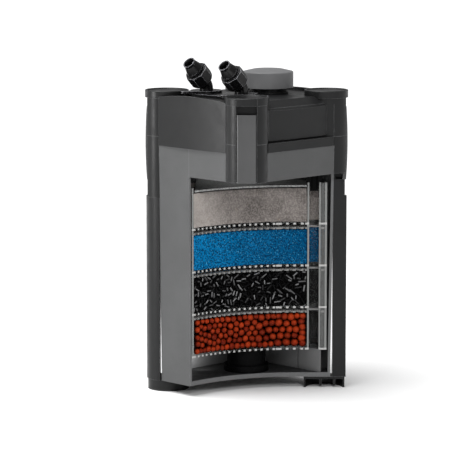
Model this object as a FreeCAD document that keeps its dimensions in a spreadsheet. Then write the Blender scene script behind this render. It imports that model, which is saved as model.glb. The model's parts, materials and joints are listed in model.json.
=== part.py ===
import FreeCAD, Part
import math
import os

import Sketcher
from FreeCAD import Placement, Rotation, Vector

# Canister filter for an aquarium, shown with its front corner cut away
# Millimetres, +Z up, origin at the centre of the base, bare front panel facing -Y
# A column stands at each corner, and the section opens the corner at +X, -Y

SIZES = [
    ("diagonal_ratio", math.sqrt(2.0), "diagonal of a unit square"),
    ("column_offset", 78.6, "column axis from the centre, along X and along Y"),
    ("sheath_radius", 30.9, "sheathed lower length of a column"),
    ("sheath_top", 277.0, "level where the sheathed length ends"),
    ("free_chord", 122.9, "back of the sheathed length, from the centre"),
    ("joined_chord", 121.5, "back of the upper length, where it meets the rim"),
    ("cap_radius", 31.0, "cap on a column"),
    ("cap_offset", 79.4, "cap axis from the centre, along X and along Y"),
    ("post_offset", 80.2, "column axis in the head, along X and along Y"),
    ("post_radius", 30.0, "column in the head"),
    ("post_seam", 122.2, "seam down a column of the head, from the centre"),
    ("cap_rim", 2.2, "width of the raised rim of a cap"),
    ("cap_dish", 1.6, "depth of the dish in a cap"),
    ("foot_radius", 29.3, "pod under a column"),
    ("foot_wall", 2.0, "wall of the pod"),
    ("foot_web", 3.3, "top web of the pod"),
    ("rib_width", 3.0, "rib inside the pod"),
    ("pad_depth", 1.6, "rubber ring under a pod"),
    ("foot_top", 15.4, "underside of the vessel"),
    ("floor_top", 21.6, "inside floor of the vessel"),
    ("vessel_half_low", 104.8, "half width of the vessel at its underside"),
    ("vessel_half_top", 106.9, "half width of the vessel at its top"),
    ("vessel_corner_low", 119.8, "cut corner of the vessel at its underside, from the centre"),
    ("vessel_corner_top", 124.0, "cut corner of the vessel at its top, from the centre"),
    ("vessel_wall", 3.6, "wall of the vessel"),
    ("vessel_top", 351.2, "top of the light vessel"),
    ("split_level", 364.1, "seam between canister and head"),
    ("cut_top", 311.6, "top of the cut away corner"),
    ("cut_flat", 1.4, "flat part of the section, behind the diagonal"),
    ("cut_turn", 74.3, "where the section starts to curve, along the diagonal"),
    ("cut_radius", 201.0, "curve of the section"),
    ("cut_reach", 260.0, "how far the removed volume runs past the part"),
    ("rim_half_side", 107.9, "half width of the rim across the plain sides"),
    ("rim_half_front", 104.4, "half width of the rim behind the front panel"),
    ("rim_bore", 98.0, "half width of the mouth of the canister"),
    ("rim_bore_corner", 113.0, "cut corner of the mouth, from the centre"),
    ("gasket_inner", 100.0, "inner half width of the seal"),
    ("gasket_width", 3.5, "width of the seal"),
    ("gasket_depth", 2.0, "depth of the seal in its groove"),
    ("basket_half", 100.5, "half width of a basket"),
    ("basket_corner", 114.3, "cut corner of a basket, from the centre"),
    ("basket_wall", 3.2, "wall of a basket"),
    ("basket_base", 54.7, "underside of the lowest basket"),
    ("basket_pitch", 60.2, "height that each basket takes in the stack"),
    ("grid_depth", 2.8, "thickness of a slotted floor"),
    ("slot_pitch", 7.6, "distance between slots"),
    ("slot_width", 4.8, "width of a slot"),
    ("slot_reach", 94.5, "end of the slots from the middle"),
    ("cross_rib", 32.0, "rib across the slots, from the middle"),
    ("cross_rib_half", 1.5, "half width of that rib"),
    ("duct_inner", 89.0, "near side of the down duct, along the diagonal"),
    ("duct_outer", 103.0, "far side of the down duct"),
    ("duct_half", 18.0, "half width of the down duct"),
    ("duct_wall", 2.5, "wall of the down duct"),
    ("lid_level", 53.8, "underside of a lid above the basket's underside"),
    ("media_gap", 0.4, "room between a medium and what holds it"),
    ("wool_top", 290.0, "top of the wool pad"),
    ("support_inner", 76.0, "inner face of the wall that carries the baskets"),
    ("support_wall", 3.0, "thickness of that wall"),
    ("support_slit", 29.0, "slit in the rear wall"),
    ("pedestal_x", -17.7, "pedestal on the floor"),
    ("pedestal_radius", 27.5, "pedestal"),
    ("pedestal_foot", 32.0, "disc at the foot of the pedestal"),
    ("pedestal_step", 31.0, "top of that disc"),
    ("head_half", 104.5, "half width of the head shell behind its front and back panels"),
    ("head_half_side", 97.5, "half width of the head shell behind its side panels"),
    ("head_corner", 118.0, "cut corner of the head shell, from the centre"),
    ("head_wall", 3.0, "wall of the head shell"),
    ("panel_end", 107.5, "face of the front panel at its ends"),
    ("panel_crown", 110.3, "face of the front panel at its middle"),
    ("side_end", 100.3, "face of a side panel at its ends"),
    ("side_crown", 102.4, "face of a side panel at its middle"),
    ("side_gap", 2.4, "slit between a side panel and the rim"),
    ("panel_reach", 67.0, "half length of a panel"),
    ("panel_top_end", 419.7, "front panel's top edge at its ends"),
    ("panel_top_crown", 424.3, "front panel's top edge at its middle"),
    ("room_corner", 104.5, "cut corners of the room inside the head, from the centre"),
    ("shoulder_level", 408.8, "top of a side panel at its ends, on the slope of the roof"),
    ("shoulder_inset", 84.0, "edge of the flat deck"),
    ("deck_level", 420.0, "flat deck of the head"),
    ("column_top", 417.3, "underside of the caps"),
    ("cap_top", 427.7, "top of the caps"),
    ("lever_width", 26.4, "latch lever"),
    ("lever_slot", 28.5, "slot that holds a lever"),
    ("lever_low", 301.6, "foot of a lever"),
    ("lever_top", 405.1, "top of a lever"),
    ("lever_face", 142.4, "face of a lever at that level, from the centre"),
    ("lever_bow", 729.0, "radius of the bow of a lever"),
    ("lever_thick", 5.0, "thickness of a lever"),
    ("lever_dish", 75.0, "radius of the hollow face of a lever"),
    ("lever_span", 8.14, "angle that the bow of a lever covers"),
    ("pivot_level", 347.0, "pin of a lever"),
    ("pivot_reach", 134.0, "pin of a lever, from the centre"),
    ("pin_radius", 2.0, "hinge pin"),
    ("pin_half", 18.0, "half length of a hinge pin"),
    ("pin_play", 0.05, "running clearance round a pin"),
    ("boss_radius", 4.6, "boss round the hinge pin"),
    ("slot_floor_low", 125.6, "back of the slot in the canister column"),
    ("slot_floor_high", 129.0, "back of the slot in the head column"),
    ("slot_low", 300.2, "lower end of the slot"),
    ("slot_shelf", 138.3, "shallow end of the slot below a lever, from the centre"),
    ("nose_level", 383.0, "underside of a lever's nose"),
    ("nose_reach", 130.2, "tip of a lever's nose, from the centre"),
    ("catch_reach", 133.8, "tip of the catch on the head"),
    ("primer_y", 43.0, "priming pump behind the middle"),
    ("knob_radius", 36.0, "priming knob"),
    ("knob_low", 428.3, "underside of the knob"),
    ("knob_edge", 451.2, "side of the knob ends"),
    ("knob_crown", 455.8, "top of the knob"),
    ("knob_wall", 2.6, "wall of the knob"),
    ("collar_radius", 26.0, "collar under the knob"),
    ("collar_bore", 22.0, "bore of the priming pump"),
    ("collar_low", 398.0, "lower end of the priming pump"),
    ("collar_top", 436.0, "upper end of the collar"),
    ("stem_radius", 8.0, "stem of the plunger"),
    ("spring_radius", 13.0, "return spring, to the middle of its wire"),
    ("spring_wire", 1.3, "wire of the return spring"),
    ("spring_turns", 3.0, "turns of the return spring"),
    ("tap_x", 35.0, "hose connectors, each side of the middle"),
    ("tap_y", -45.0, "hose connectors, towards the front"),
    ("tap_disc", 22.3, "disc of a tap lever"),
    ("tap_low", 424.0, "underside of the tap disc"),
    ("tap_depth", 3.2, "thickness of the tap disc"),
    ("tap_barrel", 14.0, "barrel of the tap in the block"),
    ("block_low", 402.0, "underside of the connector block"),
    ("block_half_x", 62.0, "flange of the connector block"),
    ("block_half_y", 26.5, "flange of the connector block"),
    ("block_step", 3.0, "width of the flange"),
    ("elbow_radius", 9.5, "tube of an elbow"),
    ("elbow_bore", 6.6, "water way of an elbow"),
    ("elbow_bend", 14.0, "bend of an elbow, at the middle of the tube"),
    ("elbow_knee", 435.0, "level where the two legs of an elbow would meet"),
    ("lean_angle", 46.0, "lean of a connector towards the front"),
    ("thread_radius", 13.4, "threaded collar on the elbow"),
    ("nut_low", 8.5, "lower end of a nut, from the knee"),
    ("nut_long", 20.5, "length of a nut"),
    ("nut_flat", 15.5, "flat of a nut, from its axis"),
    ("nut_taper", 3.4, "length of the taper at the foot of a nut"),
    ("tail_root", 24.9, "joint between elbow and hose tail, from the knee"),
    ("tail_flare", 32.6, "wide end of the cone"),
    ("tail_land", 43.6, "straight end of the cone"),
    ("tail_mouth", 47.6, "mouth of the hose tail, from the knee"),
    ("tail_wide", 12.2, "wide end of the cone"),
    ("mouth_radius", 9.0, "mouth of the hose tail"),
    ("mouth_bore", 7.9, "flared bore at that mouth"),
    ("pump_x", -45.0, "pump axis"),
    ("pump_y", 10.0, "pump axis"),
    ("plate_low", 350.0, "underside of the pump plate"),
    ("plate_half", 97.6, "half width of the pump plate in the mouth"),
    ("plate_corner", 112.6, "cut corner of the pump plate"),
    ("plate_flange", 3.0, "flange of the pump plate"),
    ("motor_radius", 26.0, "potted motor"),
    ("motor_top", 402.0, "top of the motor"),
    ("well_radius", 12.4, "well of the rotor"),
    ("magnet_radius", 11.7, "rotor magnet"),
    ("shaft_radius", 1.5, "rotor shaft"),
    ("volute_radius", 20.0, "chamber of the impeller"),
    ("volute_top", 363.0, "roof of that chamber"),
    ("impeller_radius", 17.0, "impeller"),
    ("gland_x", -34.0, "cable gland on the deck"),
    ("gland_y", 88.0, "cable gland on the deck"),
    ("gland_bore", 3.2, "cable hole of the gland"),
    ("pipe_radius", 6.7, "end of the down pipe"),
    ("pipe_bore", 4.9, "water way of the down pipe"),
    ("pipe_collar", 11.0, "upper length of the down pipe"),
    ("pipe_low", 283.0, "lower end of the down pipe"),
    ("pipe_step", 297.0, "lower end of its collar"),
]

CORNERS = [("front_right", -45.0), ("back_right", 45.0), ("back_left", 135.0), ("front_left", 225.0)]
SLOT_ROWS = 25


class Size:
    """A number together with the sheet formula that gives it."""

    def __init__(self, value, text):
        self.value = value
        self.text = text

    def __add__(self, other):
        other = as_size(other)
        return Size(self.value + other.value, f"({self.text} + {other.text})")

    def __radd__(self, other):
        return as_size(other) + self

    def __sub__(self, other):
        other = as_size(other)
        return Size(self.value - other.value, f"({self.text} - {other.text})")

    def __rsub__(self, other):
        return as_size(other) - self

    def __mul__(self, other):
        other = as_size(other)
        return Size(self.value * other.value, f"({self.text} * {other.text})")

    def __rmul__(self, other):
        return as_size(other) * self

    def __truediv__(self, other):
        other = as_size(other)
        return Size(self.value / other.value, f"({self.text} / {other.text})")

    def __neg__(self):
        return Size(-self.value, f"(0 - {self.text})")


def as_size(number):
    if isinstance(number, Size):
        return number
    return Size(float(number), f"({float(number)!r})")


def root(size):
    return Size(math.sqrt(size.value), f"sqrt({size.text})")


def sine(size):
    return Size(math.sin(math.radians(size.value)), f"sin({size.text} * 1 deg)")


def cosine(size):
    return Size(math.cos(math.radians(size.value)), f"cos({size.text} * 1 deg)")


class Sheet:
    """The driving sizes, one attribute for each alias of the spreadsheet."""

    def __init__(self, document):
        cells = document.addObject("Spreadsheet::Sheet", "sizes")
        for row, (alias, value, meaning) in enumerate(SIZES, start=1):
            cells.set(f"A{row}", meaning)
            cells.set(f"B{row}", repr(float(value)))
            cells.setAlias(f"B{row}", alias)
            setattr(self, alias, Size(float(value), f"sizes.{alias}"))


doc = FreeCAD.newDocument("canister_filter")
s = Sheet(doc)
doc.recompute()
column_axis = s.column_offset * s.diagonal_ratio
post_axis = s.post_offset * s.diagonal_ratio
subparts = []


def keep(thing, label):
    """Name a finished sub-part; its label is the name of its file."""
    thing.Label = label
    subparts.append(thing)
    return thing


def bind(thing, path, size):
    thing.setExpression(path, as_size(size).text)


def place(thing, x=0.0, y=0.0, z=0.0, axis=(0, 0, 1), angle=0.0):
    """Put a piece at a point of the frame, turned about an axis through its own origin."""
    spot = [as_size(x), as_size(y), as_size(z)]
    turn = as_size(angle)
    thing.Placement = Placement(Vector(*[size.value for size in spot]), Rotation(Vector(*axis), turn.value))
    for name, size in zip("xyz", spot):
        if size.value:
            bind(thing, f"Placement.Base.{name}", size)
    return thing


# Sketches and solids

def new_body(name):
    return doc.addObject("PartDesign::Body", name)


def sketch_on(body, name, role="XY_Plane", level=0.0):
    sketch = body.newObject("Sketcher::SketchObject", name)
    plane = [item for item in body.Origin.OriginFeatures if item.Role == role][0]
    sketch.AttachmentSupport = (plane, [""])
    sketch.MapMode = "FlatFace"
    if as_size(level).value:
        bind(sketch, "AttachmentOffset.Base.z", level)
    return sketch


def pin_point(sketch, index, end, x, y):
    """Hold one end of a line, an arc or a circle's centre at sizes of the sheet."""
    for kind, size, axis in (("DistanceX", x, -2), ("DistanceY", y, -1)):
        if size.value == 0.0:
            sketch.addConstraint(Sketcher.Constraint("PointOnObject", index, end, axis))
        else:
            row = sketch.addConstraint(Sketcher.Constraint(kind, -1, 1, index, end, size.value))
            bind(sketch, f"Constraints[{row}]", size)


def arc_between(start, end, radius):
    """Arc shorter than half a turn; a positive radius turns left on the way, a negative one right."""
    chord = end - start
    half = chord.Length / 2.0
    rise = math.sqrt(max(radius * radius - half * half, 0.0))
    left = Vector(-chord.y, chord.x, 0).normalize()
    centre = (start + end) * 0.5 + left * math.copysign(rise, radius)
    first, last = (start, end) if radius > 0 else (end, start)
    angles = [math.atan2(point.y - centre.y, point.x - centre.x) for point in (first, last)]
    if angles[1] < angles[0]:
        angles[1] += 2.0 * math.pi
    circle = Part.Circle(centre, Vector(0, 0, 1), abs(radius))
    return Part.ArcOfCircle(circle, angles[0], angles[1])


def outline(sketch, corners):
    """Closed outline; a corner is x, y and, where an arc leads on from it, the arc's radius."""
    points = [(as_size(corner[0]), as_size(corner[1])) for corner in corners]
    spots = [Vector(x.value, y.value, 0) for x, y in points]
    edges = []
    for index, corner in enumerate(corners):
        start, end = spots[index], spots[(index + 1) % len(spots)]
        radius = as_size(corner[2]) if len(corner) == 3 else None
        shape = arc_between(start, end, radius.value) if radius else Part.LineSegment(start, end)
        edge = sketch.addGeometry(shape, False)
        backwards = radius is not None and radius.value < 0
        edges.append((edge, 2 if backwards else 1, 1 if backwards else 2, radius))
    for index, (edge, head, tail, radius) in enumerate(edges):
        pin_point(sketch, edge, head, *points[index])
        following = edges[(index + 1) % len(edges)]
        sketch.addConstraint(Sketcher.Constraint("Coincident", edge, tail, following[0], following[1]))
        if radius:
            size = radius if radius.value > 0 else -radius
            row = sketch.addConstraint(Sketcher.Constraint("Radius", edge, size.value))
            bind(sketch, f"Constraints[{row}]", size)
    return sketch


def circle(sketch, radius, x=0.0, y=0.0):
    x, y, radius = as_size(x), as_size(y), as_size(radius)
    index = sketch.addGeometry(Part.Circle(Vector(x.value, y.value, 0), Vector(0, 0, 1), radius.value), False)
    pin_point(sketch, index, 3, x, y)
    row = sketch.addConstraint(Sketcher.Constraint("Radius", index, radius.value))
    bind(sketch, f"Constraints[{row}]", radius)
    return sketch


def rectangle(sketch, left, right, low, high):
    return outline(sketch, [(left, low), (right, low), (right, high), (left, high)])


def octagon(sketch, half_x, half_y, corner):
    """Square with cut corners: half widths along X and Y, and the cuts' distance from the centre."""
    reach_x = corner * s.diagonal_ratio - half_x
    reach_y = corner * s.diagonal_ratio - half_y
    return outline(sketch, [
        (half_x, -reach_x), (half_x, reach_x), (reach_y, half_y), (-reach_y, half_y),
        (-half_x, reach_x), (-half_x, -reach_x), (-reach_y, -half_y), (reach_y, -half_y)])


def pad(body, sketch, length, symmetric=False, reversed_way=False):
    feature = body.newObject("PartDesign::Pad", sketch.Name + "_pad")
    feature.Profile = sketch
    feature.SideType = "Symmetric" if symmetric else "One side"
    feature.Reversed = reversed_way
    bind(feature, "Length", length)
    return feature


def pocket(body, sketch, depth, symmetric=False, upwards=False):
    feature = body.newObject("PartDesign::Pocket", sketch.Name + "_pocket")
    feature.Profile = sketch
    feature.SideType = "Symmetric" if symmetric else "One side"
    feature.Reversed = upwards
    bind(feature, "Length", depth)
    return feature


def turn(body, sketch, kind="Revolution", angle=360.0, symmetric=False, axis="V_Axis"):
    feature = body.newObject(f"PartDesign::{kind}", sketch.Name + "_turn")
    feature.Profile = sketch
    feature.ReferenceAxis = (sketch, [axis])
    feature.Midplane = symmetric
    bind(feature, "Angle", angle)
    return feature


def around(body, originals, count):
    feature = body.newObject("PartDesign::PolarPattern", originals[-1].Name + "_ring")
    feature.Originals = originals
    first = originals[0].Profile[0]
    feature.Axis = (first, ["N_Axis"])
    feature.Angle = 360.0
    feature.Occurrences = count
    body.Tip = feature
    return feature


def loft(body, low, high, kind="AdditiveLoft"):
    feature = body.newObject(f"PartDesign::{kind}", low.Name + "_loft")
    feature.Profile = low
    feature.Sections = [high]
    feature.Ruled = True
    return feature


def revolved(name, profile):
    """Piece turned about its own Z axis from a profile of radius and level."""
    body = new_body(name)
    turn(body, outline(sketch_on(body, name + "_profile", "XZ_Plane"), profile))
    return body


def cylinder(name, radius, low, high, x=0.0, y=0.0):
    rod = doc.addObject("Part::Cylinder", name)
    bind(rod, "Radius", radius)
    bind(rod, "Height", as_size(high) - low)
    return place(rod, x, y, low)


def box(name, x_range, y_range, z_range):
    block = doc.addObject("Part::Box", name)
    for side, (low, high) in zip(("Length", "Width", "Height"), (x_range, y_range, z_range)):
        bind(block, side, as_size(high) - low)
    return place(block, x_range[0], y_range[0], z_range[0])


def cut(name, base, *tools):
    tool = tools[0] if len(tools) == 1 else fuse(name + "_tools", *tools)
    result = doc.addObject("Part::Cut", name)
    result.Base, result.Tool = base, tool
    return result


def fuse(name, *pieces):
    result = doc.addObject("Part::MultiFuse", name)
    result.Shapes = list(pieces)
    result.Refine = True
    return result


def common(name, *pieces):
    result = doc.addObject("Part::MultiCommon", name)
    result.Shapes = list(pieces)
    return result


def group(name, *pieces):
    result = doc.addObject("Part::Compound", name)
    result.Links = list(pieces)
    return result


def turned(thing, angle):
    """Turn a piece built along +X to the corner that it belongs to."""
    return place(thing, angle=angle)


# The removed corner

def make_section():
    """Volume in front of the section: a quarter arc that runs out into a flat behind the diagonal."""
    body = new_body("section_tool")
    centre = s.cut_flat - s.cut_radius
    start = s.cut_turn - s.cut_radius
    outline(sketch_on(body, "section_plan", level=-5.0), [
        (start, centre, -s.cut_radius), (s.cut_turn, s.cut_flat), (s.cut_reach, s.cut_flat),
        (s.cut_reach, -s.cut_reach), (start, -s.cut_reach)])
    pad(body, body.Group[0], s.cut_top + 5.0)
    return turned(body, 45.0)


# Canister

def vessel_form(name, level, wall):
    """Tapered block with cut corners, from a level up to the top of the vessel, inside a wall."""
    body = new_body(name)
    low_half = s.vessel_half_low - wall
    top_half = s.vessel_half_top - wall
    low = octagon(sketch_on(body, name + "_low", level=level), low_half, low_half, s.vessel_corner_low - wall)
    high = octagon(sketch_on(body, name + "_high", level=s.vessel_top), top_half, top_half,
                   s.vessel_corner_top - wall)
    loft(body, low, high)
    return body


def make_vessel(section):
    """Open vessel; its outer form goes on to trim the backs of the columns."""
    whole = vessel_form("vessel_block", s.foot_top, as_size(0.0))
    room = vessel_form("vessel_room", s.floor_top, s.vessel_wall)
    keep(cut("vessel_cut", whole, room, section), "vessel")
    return whole


def make_rim():
    body = new_body("rim_body")
    plan = octagon(sketch_on(body, "rim_plan", level=s.vessel_top),
                   s.rim_half_side, s.rim_half_front, s.joined_chord)
    pad(body, plan, s.split_level - s.vessel_top)
    mouth = octagon(sketch_on(body, "rim_mouth", level=s.split_level), s.rim_bore, s.rim_bore, s.rim_bore_corner)
    pocket(body, mouth, s.split_level - s.vessel_top)
    outer = s.gasket_inner + s.gasket_width
    groove = sketch_on(body, "rim_groove", level=s.split_level)
    octagon(groove, outer, outer, outer + 15.0)
    octagon(groove, s.gasket_inner, s.gasket_inner, s.gasket_inner + 15.0)
    pocket(body, groove, s.gasket_depth)
    keep(body, "canister_rim")


def make_gasket():
    body = new_body("gasket_body")
    outer = s.gasket_inner + s.gasket_width
    plan = sketch_on(body, "gasket_plan", level=s.split_level - s.gasket_depth)
    octagon(plan, outer, outer, outer + 15.0)
    octagon(plan, s.gasket_inner, s.gasket_inner, s.gasket_inner + 15.0)
    pad(body, plan, s.gasket_depth)
    keep(body, "head_gasket")


def segment(body, name, axis, radius, chord, low, high):
    """Length of a column: what a chord leaves of its circle on the outer side."""
    reach = root(radius * radius - (chord - axis) * (chord - axis))
    plan = outline(sketch_on(body, name, level=low), [(chord, -reach, radius), (chord, reach)])
    return pad(body, plan, high - low)


def make_column(corner, angle, section, vessel):
    """Sheathed lower length, upper length with the slot of the lever, and a back fitted to the vessel."""
    body = new_body(f"column_{corner}_whole")
    segment(body, f"sheath_{corner}", column_axis, s.sheath_radius, s.free_chord, s.foot_top, s.sheath_top)
    segment(body, f"shaft_{corner}", post_axis, s.post_radius, s.joined_chord, s.sheath_top, s.split_level)
    for part, floor, low in (("deep", s.slot_floor_low, s.slot_low), ("shelf", s.slot_shelf, s.sheath_top)):
        slot = rectangle(sketch_on(body, f"{part}_slot_{corner}", level=s.split_level),
                         floor, s.slot_floor_low + 40.0, -s.lever_slot / 2, s.lever_slot / 2)
        pocket(body, slot, s.split_level - low)
    holes = circle(sketch_on(body, f"pin_hole_{corner}", "XZ_Plane"), s.pin_radius, s.pivot_reach, s.pivot_level)
    pocket(body, holes, 2 * s.pin_half, symmetric=True)
    turned(body, angle)
    tools = [vessel, section] if corner in ("front_right", "back_right") else [vessel]
    keep(cut(f"column_{corner}_cut", body, *tools), f"column_{corner}")


def make_foot(corner, angle, section):
    body = new_body(f"foot_{corner}_whole")
    disc = circle(sketch_on(body, f"pod_{corner}", level=s.pad_depth), s.foot_radius, column_axis)
    pad(body, disc, s.foot_top - s.pad_depth)
    hollow = circle(sketch_on(body, f"pod_hollow_{corner}", level=s.pad_depth),
                    s.foot_radius - s.foot_wall, column_axis)
    pocket(body, hollow, s.foot_top - s.pad_depth - s.foot_web, upwards=True)
    for side, offset in (("inner", -5.0), ("outer", 14.5)):
        middle = column_axis + offset
        rib = rectangle(sketch_on(body, f"rib_{side}_{corner}", level=s.pad_depth + 1.0),
                        middle - s.rib_width / 2, middle + s.rib_width / 2,
                        0.8 * (6.0 - s.foot_radius), 0.8 * (s.foot_radius - 6.0))
        pad(body, rib, s.foot_top - s.pad_depth - s.foot_web)
    turned(body, angle)
    if corner == "back_right":
        body = cut(f"foot_{corner}_cut", body, section)
    keep(body, f"foot_{corner}")


def make_foot_pads(section):
    rings = []
    for corner, angle in CORNERS[1:]:
        body = new_body(f"pad_{corner}")
        plan = sketch_on(body, f"pad_plan_{corner}")
        circle(plan, s.foot_radius, column_axis)
        circle(plan, s.foot_radius - s.foot_wall - 1.0, column_axis)
        pad(body, plan, s.pad_depth)
        turned(body, angle)
        rings.append(cut(f"pad_{corner}_cut", body, section) if corner == "back_right" else body)
    keep(group("foot_pad_group", *rings), "foot_pads")


def make_supports():
    """Walls on the far sides of the pan that carry the lowest basket, one of them slit."""
    high = s.basket_base
    inner, outer = s.support_inner, s.support_inner + s.support_wall
    slit = s.support_slit
    walls = [
        box("support_left", (-outer, -inner), (-58.0, outer), (s.floor_top, high)),
        box("support_rear_left", (-inner, slit - 1.0), (inner, outer), (s.floor_top, high)),
        box("support_rear_right", (slit + 1.0, 72.0), (inner, outer), (s.floor_top, high)),
        box("shelf_left", (-99.0, -outer), (-58.0, 62.0), (high - s.support_wall, high)),
        box("shelf_rear_left", (-62.0, slit - 1.0), (outer, 99.0), (high - s.support_wall, high)),
        box("shelf_rear_right", (slit + 1.0, 62.0), (outer, 99.0), (high - s.support_wall, high))]
    keep(fuse("support_fuse", *walls), "basket_supports")


def make_pedestal():
    body = revolved("pedestal_body", [
        (0.0, s.floor_top), (s.pedestal_foot, s.floor_top), (s.pedestal_foot, s.pedestal_step),
        (s.pedestal_radius, s.pedestal_step), (s.pedestal_radius, s.basket_base), (0.0, s.basket_base)])
    keep(place(body, s.pedestal_x, -s.pedestal_x), "pan_pedestal")


# Baskets and what they hold

def duct_block(name, play, low, high):
    """Block round the down duct, square to the diagonal."""
    body = new_body(name)
    edge = s.duct_wall + play
    plan = rectangle(sketch_on(body, name + "_plan", level=low),
                     s.duct_inner - edge, s.duct_outer + edge, -s.duct_half - edge, s.duct_half + edge)
    pad(body, plan, as_size(high) - low)
    return turned(body, 45.0)


def make_slot_field():
    """Rows of long slots through every basket floor and lid, clear of the walls and the duct."""
    body = new_body("slot_rows")
    row = -s.slot_pitch * (SLOT_ROWS // 2)
    low, high = row - s.slot_width / 2, row + s.slot_width / 2
    plan = sketch_on(body, "slot_plan", level=s.basket_base - 1.0)
    inner, outer = s.cross_rib - s.cross_rib_half, s.cross_rib + s.cross_rib_half
    rectangle(plan, -s.slot_reach, -outer, low, high)
    rectangle(plan, -inner, inner, low, high)
    rectangle(plan, outer, s.slot_reach, low, high)
    first = pad(body, plan, 4 * s.basket_pitch)
    rows = body.newObject("PartDesign::LinearPattern", "slot_pattern")
    rows.Originals = [first]
    rows.Direction = (plan, ["V_Axis"])
    rows.Occurrences = SLOT_ROWS
    bind(rows, "Length", s.slot_pitch * (SLOT_ROWS - 1))
    body.Tip = rows
    inset = new_body("slot_bound")
    half = s.basket_half - s.basket_wall - 4.0
    bound = octagon(sketch_on(inset, "slot_bound_plan", level=s.basket_base - 2.0),
                    half, half, s.basket_corner - s.basket_wall - 4.0)
    pad(inset, bound, 4 * s.basket_pitch + 4.0)
    keep_out = duct_block("slot_keep_out", 3.0, s.basket_base - 3.0, 400.0)
    return cut("slot_field", common("slot_bounded", body, inset), keep_out)


def basket_level(index):
    return s.basket_base + s.basket_pitch * index


def make_basket(index, slots, section):
    """Clear basket: thin tray with a slotted floor and its own length of the down duct."""
    name = f"basket_{index + 1}"
    base = basket_level(index)
    tall = s.basket_pitch
    body = new_body(name + "_tray")
    tray = octagon(sketch_on(body, name + "_plan", level=base), s.basket_half, s.basket_half, s.basket_corner)
    pad(body, tray, tall)
    half = s.basket_half - s.basket_wall
    room = octagon(sketch_on(body, name + "_room", level=base + tall), half, half,
                   s.basket_corner - s.basket_wall)
    pocket(body, room, tall - s.grid_depth)
    duct = duct_block(name + "_duct", 0.0, base, base + tall)
    bore = duct_block(name + "_bore", -s.duct_wall, base - 1.0, base + tall + 1.0)
    whole = fuse(name + "_whole", body, duct)
    keep(cut(name + "_cut", whole, slots, bore, section), name)


def make_lids(slots, section):
    """Slotted lids of the three lower baskets."""
    lids = []
    half = s.basket_half - s.basket_wall - s.media_gap
    for index in range(3):
        name = f"lid_{index + 1}"
        body = new_body(name + "_plate")
        level = basket_level(index) + s.lid_level
        plan = octagon(sketch_on(body, name + "_plan", level=level), half, half,
                       s.basket_corner - s.basket_wall - s.media_gap)
        pad(body, plan, s.grid_depth)
        hole = duct_block(name + "_hole", s.media_gap, level - 1.0, level + s.grid_depth + 1.0)
        lids.append(cut(name + "_cut", body, slots, hole, section))
    keep(group("lid_group", *lids), "basket_lids")


def make_medium(label, index, top, section):
    """Bed or pad that fills a basket between its floor and its lid, round the down duct."""
    body = new_body(label + "_block")
    half = s.basket_half - s.basket_wall - s.media_gap
    level = basket_level(index) + s.grid_depth + s.media_gap / 2
    plan = octagon(sketch_on(body, label + "_plan", level=level), half, half,
                   s.basket_corner - s.basket_wall - s.media_gap)
    pad(body, plan, top - level)
    hole = duct_block(label + "_hole", s.media_gap, level - 1.0, top + 1.0)
    keep(cut(label + "_cut", body, hole, section), label)


def make_contents(section):
    slots = make_slot_field()
    for index in range(4):
        make_basket(index, slots, section)
    make_lids(slots, section)
    for index, label in enumerate(("clay_balls", "carbon_pellets", "foam_pad")):
        make_medium(label, index, basket_level(index) + s.lid_level - s.media_gap / 2, section)
    make_medium("wool_pad", 3, s.wool_top, section)


# Head

def make_head_shell():
    body = new_body("head_body")
    plan = octagon(sketch_on(body, "head_plan", level=s.split_level), s.head_half_side, s.head_half, s.head_corner)
    pad(body, plan, s.deck_level - s.split_level)
    wedge = sketch_on(body, "head_shoulders", "XZ_Plane")
    for side in (1.0, -1.0):
        outline(wedge, roof_slope(side))
    pocket(body, wedge, 3 * s.head_half, symmetric=True)
    post = circle(sketch_on(body, "head_post", level=s.split_level), s.post_radius, s.post_offset, s.post_offset)
    around(body, [pad(body, post, s.column_top - s.split_level)], 4)
    seat = circle(sketch_on(body, "cap_seat", level=s.deck_level), s.cap_radius + 0.1,
                  s.cap_offset, s.cap_offset)
    around(body, [pocket(body, seat, s.deck_level - s.column_top)], 4)
    hollow = head_hollow()
    slots = head_slots()
    catches = head_catches()
    openings = [
        cylinder("primer_hole", s.collar_radius + 0.2, s.deck_level - 20.0, s.deck_level + 5.0, y=s.primer_y),
        box("block_hole", (s.block_step - s.block_half_x - 0.3, s.block_half_x - s.block_step + 0.3),
            (s.tap_y - s.block_half_y + s.block_step - 0.3, s.tap_y + s.block_half_y - s.block_step + 0.3),
            (s.deck_level - 20.0, s.deck_level + 5.0)),
        cylinder("gland_hole", 5.1, s.deck_level - 20.0, s.deck_level + 5.0, s.gland_x, s.gland_y)]
    shell = cut("head_cut", body, hollow, slots, head_seams(), *openings)
    keep(fuse("head_fuse", shell, catches), "head_shell")


def roof_slope(side):
    """Space above the slope that leads from the deck down over a side panel, seen along Y."""
    run = 12.0
    fall = (s.deck_level - s.shoulder_level) / (s.side_end - s.shoulder_inset) * run
    out, over = side * (s.side_end + run), s.deck_level + 1.0
    return [(side * s.shoulder_inset, s.deck_level), (out, s.shoulder_level - fall), (out, over),
            (side * s.shoulder_inset, over)]


def head_seams():
    """Fine seams down both flanks of each column of the head."""
    seams = []
    for corner, angle in CORNERS:
        for side in (1.0, -1.0):
            body = new_body(f"seam_{corner}_{'left' if side > 0 else 'right'}")
            reach = root(s.post_radius * s.post_radius - (s.post_seam - post_axis) * (s.post_seam - post_axis))
            plan = rectangle(sketch_on(body, body.Name + "_plan", level=s.split_level - 1.0),
                             s.post_seam - 0.3, s.post_seam + 0.3, side * (reach - 0.7), side * (reach + 3.0))
            pad(body, plan, s.shoulder_level - s.split_level + 1.0)
            seams.append(turned(body, angle))
    return group("seam_group", *seams)


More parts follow.
